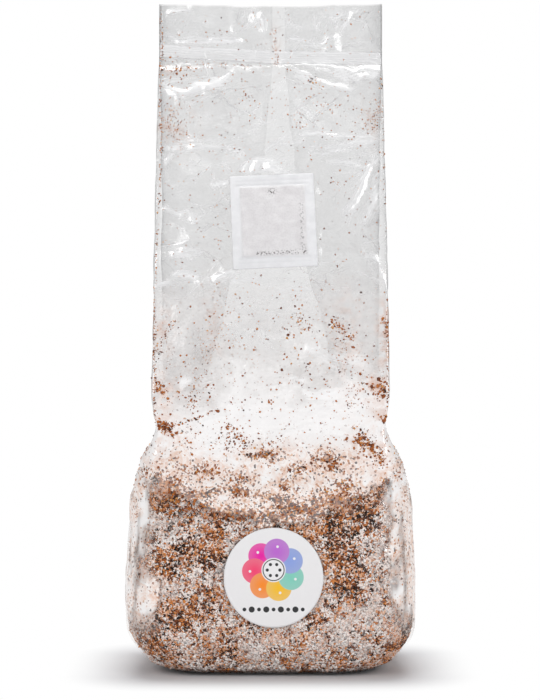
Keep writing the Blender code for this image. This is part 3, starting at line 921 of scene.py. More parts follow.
# How much husk shows through the fog at each row
SPECK_ROWS = (0, 300, 380, 430, 455, 475, 495, 515, 535, 700)
SPECK_LEVELS = (0.0, 0.003, 0.008, 0.025, 0.08, 0.12, 0.20, 0.36, 0.45, 0.45)

# The crease where the heaped top meets the block's front, as pixels along it, with painted shade along it
RIM_CREASE = (
    (152, 472), (164, 486), (178, 495), (210, 492), (241, 491), (267, 494), (293, 506), (324, 516),
)

# Dark clods that show through the fog: pixel, half width and half height in pixels, and strength
CLODS = (
    (263, 455, 16, 5, 1.0), (204, 471, 17, 7, 0.9), (298, 469, 10, 5, 0.7), (325, 460, 14, 7, 0.9),
    (334, 467, 9, 4, 0.8), (240, 479, 9, 4, 0.8), (283, 487, 7, 4, 0.6), (240, 494, 9, 5, 0.7),
    (345, 487, 10, 6, 0.7), (170, 495, 15, 18, 1.0), (190, 508, 20, 9, 0.7), (340, 500, 22, 9, 0.9),
    (300, 509, 28, 6, 0.6), (235, 516, 55, 4, 0.9), (389, 482, 6, 8, 0.6), (150, 470, 6, 18, 0.35),
)


def film_fog(points, px, py, front):
    """Condensation and dust on the film, thickest over the block's heaped top."""
    x, y, z = np.moveaxis(points, -1, 0)
    level = np.interp(py, FOG_ROWS, FOG_LEVELS)
    patchy = 0.85 + 0.45 * layered_noise(points, 0.022, 33) + 0.22 * layered_noise(points, 0.006, 37)
    shifted = px + 3 * lattice_noise(points, 0.006, 38), py + 2 * lattice_noise(points, 0.005, 39)
    clods = spread_share(*shifted, CLODS)
    fog = level * (patchy + (1 - patchy) * smooth(level - 0.4))
    turned = points @ OFF_AXES
    ragged = layered_noise(turned, 0.0075, 42, 3) + 0.9 * lattice_noise(turned, 0.024, 46)
    torn = z - rim_height(x, y) + FOG_UNDER_RIM + FOG_RAGGED * ragged
    fog = fog * smooth(torn / 0.0016 + 0.5)
    beyond = np.abs(x) + 0.007 * layered_noise(points, 0.016, 36) - 0.081
    edge = smooth(beyond / 0.010) * (1 - smooth((z - UPPER_FROM) / 0.02))
    wander = 0.014 * layered_noise(turned, 0.020, 34)
    corner = smooth((np.abs(y) + wander - 0.024) / 0.02)
    streaked = 0.85 + 0.6 * layered_noise(points * np.array([1, 1, 0.3]), 0.006, 35)
    edge = edge * smooth((z - 0.020) / 0.040)
    fog = np.maximum(fog, edge * (0.28 + 1.07 * corner) * streaked)
    pressed = np.clip((whiteness(points, points * 0) - 0.50) / 0.5, 0, 1) * smooth((py - 505) / 25)
    fog = np.maximum(fog, 0.26 * pressed)

    heap = np.interp(py, SPECK_ROWS, SPECK_LEVELS)
    loose = 1 + 1.1 * layered_noise(points, 0.013, 44) + 0.5 * layered_noise(points, 0.0045, 45, 2)
    grainy = 0.75 + 0.5 * layered_noise(points, 0.004, 47, 2)
    sideways = smooth((np.abs(px - BAG_MIDDLE_PX) - 50) / 45)
    heap = heap * (sideways + (1 - sideways) * smooth((py - 425) / 35))
    # Painted shade along the rim crease, drawn as dark specks of husk on the fog and joined to the clods
    crease_away, _ = distance_to_line(px, py + 3 * lattice_noise(points, 0.012, 49), RIM_CREASE)
    crease = bell(crease_away, 3.6) * np.clip(0.8 + 0.6 * layered_noise(points, 0.010, 50), 0, 1)
    clods = np.maximum(clods * grainy, crease * 0.9)
    speck = heap * np.clip(loose, 0, 3) + 1.15 * clods * front
    speck = np.maximum(speck * (1 - edge), 0.10 * edge * np.clip(loose, 0, 2))
    return np.clip(fog, 0, 1), np.clip(speck, 0, 0.95)


# Orange dust on the front film: pixel, half width and half height in pixels, and strength
RUST = (
    (158, 425, 14, 20, 0.8), (384, 424, 12, 26, 0.9), (368, 444, 18, 14, 0.8), (384, 470, 12, 20, 0.7),
    (154, 455, 12, 24, 0.6), (162, 486, 18, 14, 0.7), (160, 330, 12, 26, 0.25), (386, 340, 9, 40, 0.5),
    (378, 388, 18, 12, 0.6), (162, 390, 14, 14, 0.45), (176, 128, 22, 22, 0.22), (176, 70, 20, 6, 0.3),
    (372, 118, 12, 24, 0.16), (276, 48, 4, 20, 0.4), (213, 330, 12, 40, 0.14), (346, 345, 14, 45, 0.22),
    (205, 472, 18, 8, 0.5), (268, 444, 22, 8, 0.35), (330, 462, 18, 8, 0.5), (345, 500, 24, 12, 0.5),
)


# Where streaks of light lie along folds: pixel, half width and half height in pixels, and strength
SHEEN = {
    "sheen_flat": (
        (202, 37, 44, 6, 0.9), (318, 40, 40, 5, 0.8), (204, 148, 42, 4, 0.9), (338, 136, 46, 4, 0.8),
        (342, 150, 40, 5, 0.7), (350, 163, 28, 4, 0.5), (196, 90, 30, 5, 0.8), (270, 64, 24, 3, 0.6),
        (190, 256, 22, 7, 0.6), (186, 276, 20, 5, 0.6), (248, 282, 30, 5, 0.6), (318, 394, 26, 5, 0.8),
        (222, 183, 14, 5, 0.7), (200, 22, 40, 8, 0.3), (230, 118, 44, 12, 0.15), (296, 380, 18, 4, 0.5),
    ),
    "sheen_fall": (
        (328, 75, 40, 11, 1.0), (370, 72, 16, 8, 0.8), (250, 60, 16, 4, 0.4), (176, 212, 16, 8, 0.6),
        (236, 50, 12, 10, 0.3), (330, 360, 22, 10, 0.35), (372, 264, 14, 26, 0.4), (190, 222, 22, 14, 0.3),
    ),
    "sheen_rise": (
        (196, 86, 40, 7, 1.0), (224, 277, 18, 7, 0.6), (262, 168, 26, 9, 1.0), (176, 192, 18, 14, 0.25),
        (216, 385, 26, 8, 0.35), (162, 284, 12, 6, 0.6), (235, 134, 44, 10, 0.22),
    ),
    "sheen_steep": (
        (366, 180, 16, 30, 0.8), (350, 205, 12, 20, 0.6), (256, 18, 8, 14, 0.5), (346, 20, 20, 13, 0.5),
        (322, 22, 10, 12, 0.4), (280, 110, 8, 40, 0.35), (292, 22, 12, 12, 0.35), (184, 24, 14, 10, 0.3),
        (262, 165, 14, 10, 0.6), (374, 214, 8, 26, 0.5), (168, 158, 8, 16, 0.3),
    ),
}


def spread_share(px, py, spots):
    """How strongly each pixel lies in any of the soft spots."""
    share = np.zeros(px.shape)
    for x, y, wide, high, strength in spots:
        share = np.maximum(share, strength * np.exp(-(((px - x) / wide) ** 2) - ((py - y) / high) ** 2))
    return share


def film_rust(points, px, py, front):
    share = spread_share(px, py, RUST)
    speckled = np.clip(0.35 + 1.1 * layered_noise(points, 0.0040, 48, 2), 0, 1.3)
    return np.clip(1.35 * share * speckled * front, 0, 1)


def pulled_in(points):
    """The base's edge rolls under just above the ground, and its ends stand out a little over that."""
    share = 1 - 0.13 * np.clip(1 - points[..., 2] / BASE_ROLL, 0, 1) ** 1.5
    end = BASE_END * bell(points[..., 2] - BASE_END_HEIGHT, 0.0045)
    return points * np.stack([share + end, share, np.ones_like(share)], -1)


def film():
    travel, side, face = film_columns(FRONT_STEP, GUSSET_STEP, BACK_STEP)
    heights = np.concatenate([LOWEST_ROWS] + [steps(*span)[1:] for span in ROW_SPANS])
    points = loop_points(travel, side, face, heights)
    normals = grid_normals(points)
    around = np.where(
        side > 0,
        np.where(face > 0, travel, 2 * QUARTER - travel),
        np.where(face > 0, 4 * QUARTER - travel, 2 * QUARTER + travel),
    )
    unrolled = np.empty(points.shape[:2] + (2,))
    unrolled[..., 0] = around[None, :]
    unrolled[..., 1] = heights[:, None]
    front = ((face > 0) & (travel <= PANEL_HALF_WIDTH + 0.001)).astype(float)[None, :]
    own = film_displacement(points, unrolled, front)

    # Near the weld every layer is pressed together, so all of them share one set of folds
    z = points[..., 2]
    flat = points.copy()
    flat[..., 1] = 0
    shared = layered_noise(flat * np.array([0.8, 1, 1.2]), 0.040, 61) * 0.0018
    shared += ridged(flat, 0.019, 62) * 0.0010 + ridged(flat, 0.009, 64) * 0.0004
    pressed = smooth((z - PRESSED_FROM) / 0.045)
    weld_away = np.abs(z - seal_line(points[..., 0])) / (SEAL_HEIGHT / 2)
    weld = smooth((1.12 - weld_away) / 0.16)
    shared = shared * (1 - 0.7 * weld) * pressed
    own = own * (1 - 0.85 * pressed)

    px, py = front_pixels(points)
    wobble = layered_noise(flat, 0.009, 66, 2)
    rise, crest_highlight = named_folds(px, py, front, wobble)
    own = own + rise * (1 - weld)
    points = points + normals * own[..., None]
    points[..., 1] -= shared
    ribs = np.sin((z - seal_line(points[..., 0])) / (SEAL_HEIGHT / 5) * 2 * math.pi)
    points[..., 1] -= face[None, :] * 0.00012 * ribs * weld

    # The cut edge at the top dips a little in the middle
    top = smooth((z - 0.475) / 0.020)
    dip = 0.0018 * (1 - (points[..., 0] / PANEL_HALF_WIDTH) ** 2)
    points[..., 2] -= top * (dip + 0.0004 * lattice_noise(flat, 0.012, 71))
    points[..., 2] = np.maximum(points[..., 2], 0.0)
    points = pulled_in(points)

    fog, speck = film_fog(points, px, py, front)
    rust = film_rust(points, px, py, front)
    touch = smooth((py + 9 * wobble - TOUCH_ROW) / 12)
    upper = smooth((z - UPPER_FROM) / 0.03)
    on_leaf = smooth((travel - PANEL_HALF_WIDTH) / 0.004)[None, :] * upper
    near_fold = np.exp(-np.abs(travel - PANEL_HALF_WIDTH) / 0.006)[None, :] * upper
    rows, columns = points.shape[:2]
    rings = [points[0] * np.array([share, share, 0]) for share in UNDERSIDE_RINGS]
    vertices = np.concatenate([points.reshape(-1, 3)] + rings + [np.zeros((1, 3))])
    count = rows * columns
    column = np.arange(columns)
    following = (column + 1) % columns
    last = count + (len(rings) - 1) * columns
    faces = [
        ring_faces(rows, columns),
        ring_faces(len(rings), columns, count)[:, ::-1],
        np.stack([following, column, count + column, count + following], -1),
        fan(last, columns, len(vertices) - 1)[:, [1, 0, 2]],
    ]
    shares = dict(zip(FILM_SHARES, (crest_highlight, weld, fog, rust, touch, on_leaf, near_fold, speck)))
    shares |= {name: spread_share(px, py, spots) * front for name, spots in SHEEN.items()}
    extra = np.zeros(len(vertices) - count)
    attributes = {name: np.concatenate([values.ravel(), extra]) for name, values in shares.items()}
    piece = mesh_object("film", vertices, faces, film_material(), attributes)
    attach(piece, "root")
    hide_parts("bag_film")
    return points, heights, travel, side, face


class FilmFront:
    """Looks up the crinkled front of the film at any x and z."""

    def __init__(self, points, heights, travel, side, face):
        chosen = np.flatnonzero((face > 0) & (travel <= PANEL_HALF_WIDTH + 1e-6))
        order = np.argsort((side * travel)[chosen])
        self.columns = chosen[order]
        self.travel = (side * travel)[self.columns]
        self.heights = heights
        self.y = points[:, self.columns, 1]

    def depth(self, x, z):
        """The film's y, with travel found from the width of the front at each height."""
        wide = quarter_point(PANEL_HALF_WIDTH, z)[0]
        travel = np.clip(x / wide, -1, 1) * PANEL_HALF_WIDTH
        column = np.clip(np.searchsorted(self.travel, travel) - 1, 0, len(self.travel) - 2)
        row = np.clip(np.searchsorted(self.heights, z) - 1, 0, len(self.heights) - 2)
        across = (travel - self.travel[column]) / (self.travel[column + 1] - self.travel[column])
        up = (z - self.heights[row]) / (self.heights[row + 1] - self.heights[row])
        across, up = np.clip(across, 0, 1), np.clip(up, 0, 1)
        low = self.y[row, column] * (1 - across) + self.y[row, column + 1] * across
        high = self.y[row + 1, column] * (1 - across) + self.y[row + 1, column + 1] * across
        return low * (1 - up) + high * up


# Block

def rim_height(x, y):
    inward = np.maximum(0.0, 1 - (np.abs(x) / PANEL_HALF_WIDTH) ** 2)
    front = np.maximum(0.0, -y / BLOCK_HALF_DEPTH) ** 2
    back = np.maximum(0.0, y / BLOCK_HALF_DEPTH) ** 2
    return BLOCK_RIM - (FRONT_RIM_DIP * front + BACK_RIM_DIP * back) * inward


BLOCK_INSET = 0.0012
BLOCK_COLUMN = 0.0032

# Paler and browner areas of the block's front: pixel, radius in pixels, and how much whiter
MOTTLES = (
    (170, 532, 26, 0.35), (150, 560, 14, 0.25), (395, 540, 22, 0.40), (352, 540, 20, 0.15),
    (370, 610, 30, 0.35), (185, 583, 16, 0.40), (245, 650, 30, 0.10), (330, 640, 22, 0.10),
    (350, 590, 22, -0.45), (390, 655, 22, -0.35), (185, 620, 26, -0.30), (215, 540, 22, -0.30),
    (180, 555, 18, -0.25), (345, 555, 14, -0.20), (160, 505, 26, -0.45), (340, 503, 26, -0.35),
    (300, 660, 24, -0.30), (165, 655, 20, -0.30),
)


def whiteness(points, normals):
    """Share of the block's surface that mycelium whitens round each place, and painted light low down."""
    turned = points @ OFF_AXES
    share = 0.35 + 0.24 * layered_noise(turned, 0.030, 87) + 0.48 * layered_noise(turned, 0.010, 84)
    # Paler near the bottom: painted light that offsets the dimmer lighting low on the block
    share = share + 0.03 * smooth((0.060 - points[..., 2]) / 0.05)
    px, py = photo_pixel(points[..., 0], points[..., 2], points[..., 1])
    front = points[..., 1] < 0
    for x, y, radius, more in MOTTLES:
        share = share + 0.75 * more * np.exp(-((px - x) ** 2 + (py - y) ** 2) / radius**2) * front
    on_top = smooth((normals[..., 2] - 0.35) / 0.3)
    return np.clip(share + on_top * (0.50 - 1.4 * spread_share(px, py, CLODS)), 0.0, 0.97)


def rim_shade(points):
    """Painted shade in the crease between the block's front and its heaped top, and under its rolled base.
    """
    x, y, z = points[..., 0], points[..., 1], points[..., 2]
    near = bell(z - rim_height(x, y) - 0.001, 0.0050)
    streaky = np.clip(0.75 + 0.7 * layered_noise(points, 0.012, 88, 2), 0, 1)
    on_front = smooth((-y - 0.040) / 0.015) * smooth((0.075 - np.abs(x)) / 0.02)
    return np.maximum(0.55 * near * streaky * on_front, smooth((BASE_ROLL - z) / 0.003))


def block_surface():
    """Points of the block: its side rows, then its heaped top, and how many of the rows are sides."""
    travel, side, face = film_columns(BLOCK_COLUMN, BLOCK_COLUMN, BLOCK_COLUMN)
    ring = loop_points(travel, side, face, np.array([BLOCK_RIM - FRONT_RIM_DIP]))[0]
    rim = rim_height(ring[:, 0], ring[:, 1]) + layered_noise(ring, 0.020, 91) * 0.002
    levels = np.concatenate([[0.0, 0.012, 0.035, 0.07], steps(0.1, 1.0, 0.025)])
    base = 0.0012
    side_rows = []
    for level in levels:
        z = base + (rim - base) * level
        x, y, _ = quarter_point(travel, z)
        side_rows.append(np.stack([x * side, y * face, z], -1))
    sides = np.array(side_rows)
    sides = sides - grid_normals(sides) * BLOCK_INSET
    edge = sides[-1]
    top_rows = []
    for share in steps(0.985, 0.03, 0.026):
        x, y = edge[:, 0] * share, edge[:, 1] * share
        heap = BLOCK_CROWN - (BLOCK_CROWN - edge[:, 2]) * share**HEAP_STEEPNESS
        spot = np.stack([x, y, heap], -1)
        loose = layered_noise(spot, 0.024, 93, 2) * 0.0042 + layered_noise(spot, 0.009, 95) * 0.0022
        top_rows.append(np.stack([x, y, heap + loose * smooth((1 - share) / 0.10)], -1))
    return np.concatenate([sides, np.array(top_rows)]), len(levels)


def block():
    points, side_rows = block_surface()
    normals = grid_normals(points)
    rough = layered_noise(points, 0.0065, 81) * 0.0004
    points = points + normals * (rough - 0.0004)[..., None]
    points[..., 2] = np.maximum(points[..., 2], 0.0010)
    points = pulled_in(points)
    rows, columns = points.shape[:2]
    vertices = np.concatenate([points.reshape(-1, 3), [[0, 0, 0.0010]], [points[-1].mean(0)]])
    faces = [
        ring_faces(rows, columns),
        fan(0, columns, len(vertices) - 2)[:, [1, 0, 2]],
        fan((rows - 1) * columns, columns, len(vertices) - 1),
    ]
    attributes = {
        "overgrown": np.concatenate([whiteness(points, normals).ravel(), [0.5, 0.5]]),
        "shade": np.concatenate([rim_shade(points).ravel(), [0, 0]]),
    }
    piece = mesh_object("substrate", vertices, faces, block_material(), attributes)
    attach(piece, "root")
    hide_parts("substrate_block")
    return points, normals, side_rows


def chips(name, centres, normals, sizes, attributes, material, seed, sides=5, longest=1.7):
    """Many small closed chips as one mesh, each with its own size, shape and turn."""
    rng = np.random.default_rng(seed)
    count = len(centres)
    tilt = normals + 0.45 * rng.normal(size=(count, 3))
    tilt /= np.linalg.norm(tilt, axis=1, keepdims=True)
    first = np.cross(tilt, rng.normal(size=(count, 3)))
    first /= np.maximum(np.linalg.norm(first, axis=1, keepdims=True), 1e-9)
    second = np.cross(tilt, first)
    long = sizes * rng.uniform(0.9, longest, count)
    wide = sizes * rng.uniform(1.55 - 0.6 * longest, 1.0, count)
    thick = sizes * rng.uniform(0.35, 0.65, count)
    angle = np.arange(sides) * 2 * math.pi / sides
    wobble = rng.uniform(0.7, 1.15, (count, sides))
    ring = (
        centres[:, None, :]
        + first[:, None, :] * (np.cos(angle) * wobble * long[:, None])[..., None] * 0.5
        + second[:, None, :] * (np.sin(angle) * wobble * wide[:, None])[..., None] * 0.5
    )
    top = centres + tilt * (thick * 0.5)[:, None]
    bottom = centres - tilt * (thick * 0.5)[:, None]
    vertices = np.concatenate([ring, top[:, None, :], bottom[:, None, :]], axis=1)
    per = sides + 2
    start = np.arange(count)[:, None] * per
    faces = []
    for index in range(sides):
        following = (index + 1) % sides
        faces.append(start + np.array([index, following, sides]))
        faces.append(start + np.array([following, index, sides + 1]))
    repeated = {key: np.repeat(values, per) for key, values in attributes.items()}
    piece = mesh_object(name, vertices.reshape(-1, 3), [np.concatenate(faces)], material, repeated)
    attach(piece, "root")


def scatter(points, normals, count, seed, weight=None):
    """Random places on a grid surface that closes round, evenly by area unless weighted."""
    rng = np.random.default_rng(seed)
    low, high = points[:-1], points[1:]
    corner = [low, np.roll(low, -1, axis=1), np.roll(high, -1, axis=1), high]
    area = np.linalg.norm(np.cross(corner[2] - corner[0], corner[3] - corner[1]), axis=-1) / 2
    if weight is not None:
        area = area * weight
    chosen = rng.choice(area.size, count, p=area.ravel() / area.sum())
    row, column = np.unravel_index(chosen, area.shape)
    u, v = rng.random((2, count, 1))
    a, b, c, d = (part[row, column] for part in corner)
    spots = (a * (1 - u) + b * u) * (1 - v) + (d * (1 - u) + c * u) * v
    return spots, normals[row, column]


FRONT_GRAINS = 17000
BACK_GRAINS = 17500
TOP_GRAINS = 9500


def ranked(values):
    """Each value's place in order, as a share from 0 to 1."""
    return np.argsort(np.argsort(values)) / len(values)


def grains(points, normals, side_rows):
    """Grain and husk that stand out of the block's surface."""
    material = grain_material()
    sides = slice(0, side_rows + 1)
    facing_front = (points[:side_rows, :, 1] < -0.012).astype(float)
    regions = (
        ("front_grains", sides, FRONT_GRAINS, facing_front, (0.0011, 0.0032)),
        ("back_grains", sides, BACK_GRAINS, 1 - facing_front, (0.0014, 0.0030)),
        ("top_grains", slice(side_rows, None), TOP_GRAINS, None, (0.0012, 0.0034)),
    )
    for index, (name, rows, count, weight, size) in enumerate(regions):
        rng = np.random.default_rng(SEED + 20 + index)
        spots, facing = scatter(points[rows], normals[rows], count, SEED + 2 + index, weight)
        spots = spots - facing * 0.00015
        spots[:, 2] = np.maximum(spots[:, 2], 0.0018)
        white = whiteness(spots, facing)
        turned = spots @ OFF_AXES
        clumped = 0.55 * layered_noise(turned, 0.0070, 86, 2) + 0.35 * layered_noise(turned, 0.022, 98, 2)
        # Grains near the bottom get paler tints: painted light that offsets the dimmer lighting low on the
        # block
        low = smooth((0.05 - spots[:, 2]) / 0.05)
        tint = 0.80 * ranked(0.75 * rng.random(count) + clumped + 0.4 * low)
        drawn = ranked(0.75 * rng.random(count) + 0.95 * layered_noise(turned, 0.0055, 89, 2))
        tint = np.where(drawn < white, 0.78 + 0.21 * rng.random(count), tint)
        attributes = {"tint": tint, "overgrown": white, "shade": rim_shade(spots)}
        chips(name, spots, facing, rng.uniform(*size, count), attributes, material, SEED + 40 + index)


# Crumbs on the film: both ends of a line in pixels, spread in pixels, count, and largest size in
# tenths of a millimetre
CRUMB_CLUSTERS = (
    (164, 68, 194, 71, 9, 56, 22), (192, 64, 268, 66, 4, 50, 13), (275, 28, 276, 66, 4, 44, 12),
    (162, 20, 163, 60, 1, 24, 13), (165, 105, 180, 140, 16, 170, 11), (170, 80, 262, 130, 26, 70, 14),
    (312, 76, 324, 90, 6, 30, 20), (300, 90, 380, 130, 24, 70, 15), (370, 130, 381, 105, 9, 80, 11),
    (293, 118, 306, 128, 8, 14, 16), (240, 90, 256, 104, 6, 18, 18), (154, 424, 172, 430, 6, 130, 28),
    (166, 427, 199, 418, 1.5, 34, 22), (199, 418, 218, 410, 2, 14, 18), (156, 428, 146, 448, 4, 60, 22),
    (150, 444, 140, 470, 4, 60, 20), (385, 418, 389, 431, 4, 70, 28), (356, 432, 374, 450, 8, 150, 30),
    (372, 450, 388, 466, 7, 70, 24), (383, 482, 389, 489, 4, 30, 24), (386, 318, 389, 345, 4, 50, 26),
    (380, 378, 388, 396, 6, 60, 34), (362, 385, 384, 396, 6, 40, 26), (388, 300, 389, 415, 2, 80, 18),
    (154, 300, 155, 420, 2, 80, 16), (156, 380, 168, 396, 6, 46, 28), (176, 320, 153, 352, 3, 34, 18),
    (330, 318, 352, 338, 6, 60, 22), (293, 312, 312, 332, 8, 40, 22), (182, 396, 196, 405, 6, 24, 20),
    (225, 425, 246, 445, 7, 60, 22), (222, 440, 250, 447, 8, 40, 18), (262, 440, 282, 452, 9, 30, 18),
    (336, 322, 356, 410, 11, 90, 12), (226, 300, 196, 400, 13, 110, 10),
)
# Large crumbs: pixel, and size in tenths of a millimetre
LARGE_CRUMBS = (
    (161, 352, 34), (159, 354, 26), (169, 325, 18), (175, 321, 16), (154, 340, 24), (206, 320, 22),
    (208, 385, 32), (210, 397, 28), (209, 393, 22), (194, 389, 18), (231, 373, 24), (245, 373, 18),
    (257, 329, 22), (254, 350, 22), (239, 317, 18), (267, 310, 18), (281, 308, 18), (295, 306, 18),
    (302, 305, 20), (288, 335, 26), (287, 338, 26), (294, 335, 20), (301, 333, 20), (295, 348, 30),
    (298, 322, 20), (287, 357, 20), (282, 370, 36), (275, 372, 18), (310, 363, 26), (306, 367, 18),
    (269, 402, 22), (262, 402, 18), (231, 402, 28), (245, 400, 18), (260, 412, 26), (332, 322, 30),
    (339, 332, 22), (353, 347, 36), (353, 335, 22), (365, 360, 22), (360, 374, 34), (367, 377, 26),
    (374, 346, 24), (378, 386, 44), (384, 391, 30), (336, 401, 26), (387, 327, 34), (347, 439, 36),
    (301, 400, 12), (218, 411, 30), (237, 429, 28), (241, 436, 28), (228, 429, 22), (245, 443, 24),
    (227, 448, 24), (192, 454, 24), (208, 363, 14), (299, 383, 18), (289, 383, 16),
)
# Left and right edge of the upper film at three rows
EDGE_ROWS = (10, 160, 300)
LEFT_EDGE = (160, 161, 154)
RIGHT_EDGE = (383, 384, 390)
EVEN_CRUMBS = 900
EDGE_DUST = 420
UPPER_DUST = 420
SIDE_CRUMBS = 2600


def crumbs(film_grid):
    rng = np.random.default_rng(SEED + 10)
    px, py, size = [], [], []

    def add(x, y, largest, small=0.0007, power=2.0):
        px.append(x)
        py.append(y)
        size.append(small + (largest - small) * rng.random(len(x)) ** power)

    for x, y, last_x, last_y, spread, count, largest in CRUMB_CLUSTERS:
        share = rng.random(count)
        x = x + (last_x - x) * share + rng.normal(0, spread / 2, count)
        y = y + (last_y - y) * share + rng.normal(0, spread / 2, count)
        add(x, y, largest / TENTHS)
    for x, y, largest in LARGE_CRUMBS:
        add(np.array([x]), np.array([y]), largest / TENTHS, largest / TENTHS * 0.8)
    for x, y, wide, high, strength in CLODS:
        count = int(4.4 * math.sqrt(wide * high) * strength)
        add(x + rng.normal(0, wide / 1.9, count), y + rng.normal(0, high / 1.9, count), 0.0026, 0.0010, 1.3)
    rows = 268 + 185 * rng.random(EVEN_CRUMBS) ** 0.65
    add(rng.uniform(155, 388, EVEN_CRUMBS), rows, 0.0019, 0.0005, 3.5)
    left = rng.random(EDGE_DUST) < 0.5
    edge_y = rng.uniform(10, 420, EDGE_DUST)
    left_x, right_x = (np.interp(edge_y, EDGE_ROWS, edge) for edge in (LEFT_EDGE, RIGHT_EDGE))
    edge_x = np.where(left, left_x, right_x)
    add(edge_x + rng.normal(0, 0.8, EDGE_DUST), edge_y, 0.0014, 0.0008, 2.0)
    add(rng.uniform(163, 383, UPPER_DUST), 8 + 255 * rng.random(UPPER_DUST), 0.0015, 0.0008, 3.0)

    px, py, size = (np.concatenate(part) for part in (px, py, size))
    front = FilmFront(*film_grid)
    x, z = photo_place(px, py, -0.06)
    for _ in range(4):
        x, z = photo_place(px, py, front.depth(x, z))
    u, v = patch_local(x, z)
    kept = (np.abs(u) > PATCH_WIDTH / 2) | (np.abs(v) > PATCH_HEIGHT / 2)
    kept &= (z > 0.105) & (z < BAG_HEIGHT - 0.004)
    kept &= np.abs(x) < quarter_point(PANEL_HALF_WIDTH, z)[0] - 0.0004
    x, z, size = x[kept], z[kept], size[kept]
    spots = np.stack([x, front.depth(x, z) - 0.00015, z], -1)
    facing = np.tile([0.0, -1.0, 0.0], (len(x), 1))
    tint = np.clip(rng.normal(0.48, 0.24, len(x)), 0, 0.99)
    material = crumb_material()
    chips("front_crumbs", spots, facing, size, {"tint": tint}, material, SEED + 11, 6, 1.25)

    points, _, travel, _, face = film_grid
    z = points[:-1, :, 2]
    thick = np.exp(-np.abs(z - 0.155) / 0.05) * (z > 0.125) * (z < 0.44)
    thick = thick * np.where((face > 0) & (travel < PANEL_HALF_WIDTH), 0.0, 1.0)
    spots, facing = scatter(points, grid_normals(points), SIDE_CRUMBS, SEED + 12, thick)
    spots = spots + facing * 0.0001
    size = 0.0004 + 0.0020 * rng.random(SIDE_CRUMBS) ** 2.6
    tint = np.clip(rng.normal(0.50, 0.25, SIDE_CRUMBS), 0, 0.99)
    chips("side_crumbs", spots, facing, size, {"tint": tint}, material, SEED + 13, 6, 1.25)


def closed_sheet(name, front, back, rows, columns, material, attributes):
    """A thin closed sheet from two grids of points, rows low to high and columns towards +X."""
    count = rows * columns
    vertices = np.concatenate([front.reshape(-1, 3), back.reshape(-1, 3)])
    quads = sheet_faces(rows, columns)
    rim = list(range(columns))
    rim += [row * columns + columns - 1 for row in range(1, rows)]
    rim += [(rows - 1) * columns + column for column in range(columns - 2, -1, -1)]
    rim += [row * columns for row in range(rows - 2, 0, -1)]
    rim = np.array(rim)
    following = np.roll(rim, -1)
    edge = np.stack([rim, rim + count, following + count, following], -1)
    both = {key: np.tile(values.ravel(), 2) for key, values in attributes.items()}
    return mesh_object(name, vertices, [quads, quads[:, ::-1] + count, edge], material, both)


def plain_front(x, z):
    """The front of the film without its folds."""
    travel = np.clip(np.abs(x) / quarter_point(PANEL_HALF_WIDTH, z)[0], 0, 1) * PANEL_HALF_WIDTH
    return quarter_point(travel, z)[1]


def filter_patch():
    columns, rows = PATCH_GRID
    u = np.linspace(-PATCH_WIDTH / 2, PATCH_WIDTH / 2, columns)[None, :] * np.ones((rows, 1))
    v = np.linspace(-PATCH_HEIGHT / 2, PATCH_HEIGHT / 2, rows)[:, None] * np.ones((1, columns))
    cos, sin = math.cos(PATCH_TILT), math.sin(PATCH_TILT)
    x = PATCH_CENTRE[0] + u * cos - v * sin
    z = PATCH_CENTRE[1] + u * sin + v * cos
    y = plain_front(x, z)
    side_away = PATCH_WIDTH / 2 - PATCH_MARGIN_SIDE - np.abs(u)
    end_away = PATCH_HEIGHT / 2 - PATCH_MARGIN_END - np.abs(v)
    inside = smooth(np.minimum(side_away, end_away) / 0.0016 + 0.5)
    flat = np.stack([x, np.zeros_like(x), z], -1)
    puff = inside * (0.0008 + 0.0004 * layered_noise(flat, 0.016, 51))
    wrinkle = 0.0003 * layered_noise(flat * np.array([0.6, 1, 1.6]), 0.012, 52)
    seam = bell(end_away + 0.0012, 0.0007)
    second = bell(end_away + 0.0042, 0.0007)
    line = np.clip(seam + 0.7 * second, 0, 1) * smooth((PATCH_WIDTH / 2 - 0.003 - np.abs(u)) / 0.002)
    lift = PATCH_LIFT + puff + wrinkle - 0.00035 * line
    front = np.stack([x, y - lift, z], -1)
    back = np.stack([x, y - lift + PATCH_THICKNESS, z], -1)
    low_row = bell(v + PATCH_HEIGHT / 2 - PATCH_MARGIN_END - 0.0024, 0.0012) * (u > -0.014)
    smudge = np.exp(-((u + 0.0002) ** 2 + (v - 0.0215) ** 2) / 0.0024**2)
    right = bell(u - 0.0205, 0.0012) * (v < 0.012)
    dust = np.clip(0.8 * low_row + smudge + 0.5 * right, 0, 1) * (inside > 0.3) + 0.05 * inside
    attributes = {"inner": inside, "line": line, "dust": dust}
    piece = closed_sheet("membrane", front, back, rows, columns, patch_material(), attributes)
    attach(piece, "root")
    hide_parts("filter_patch")


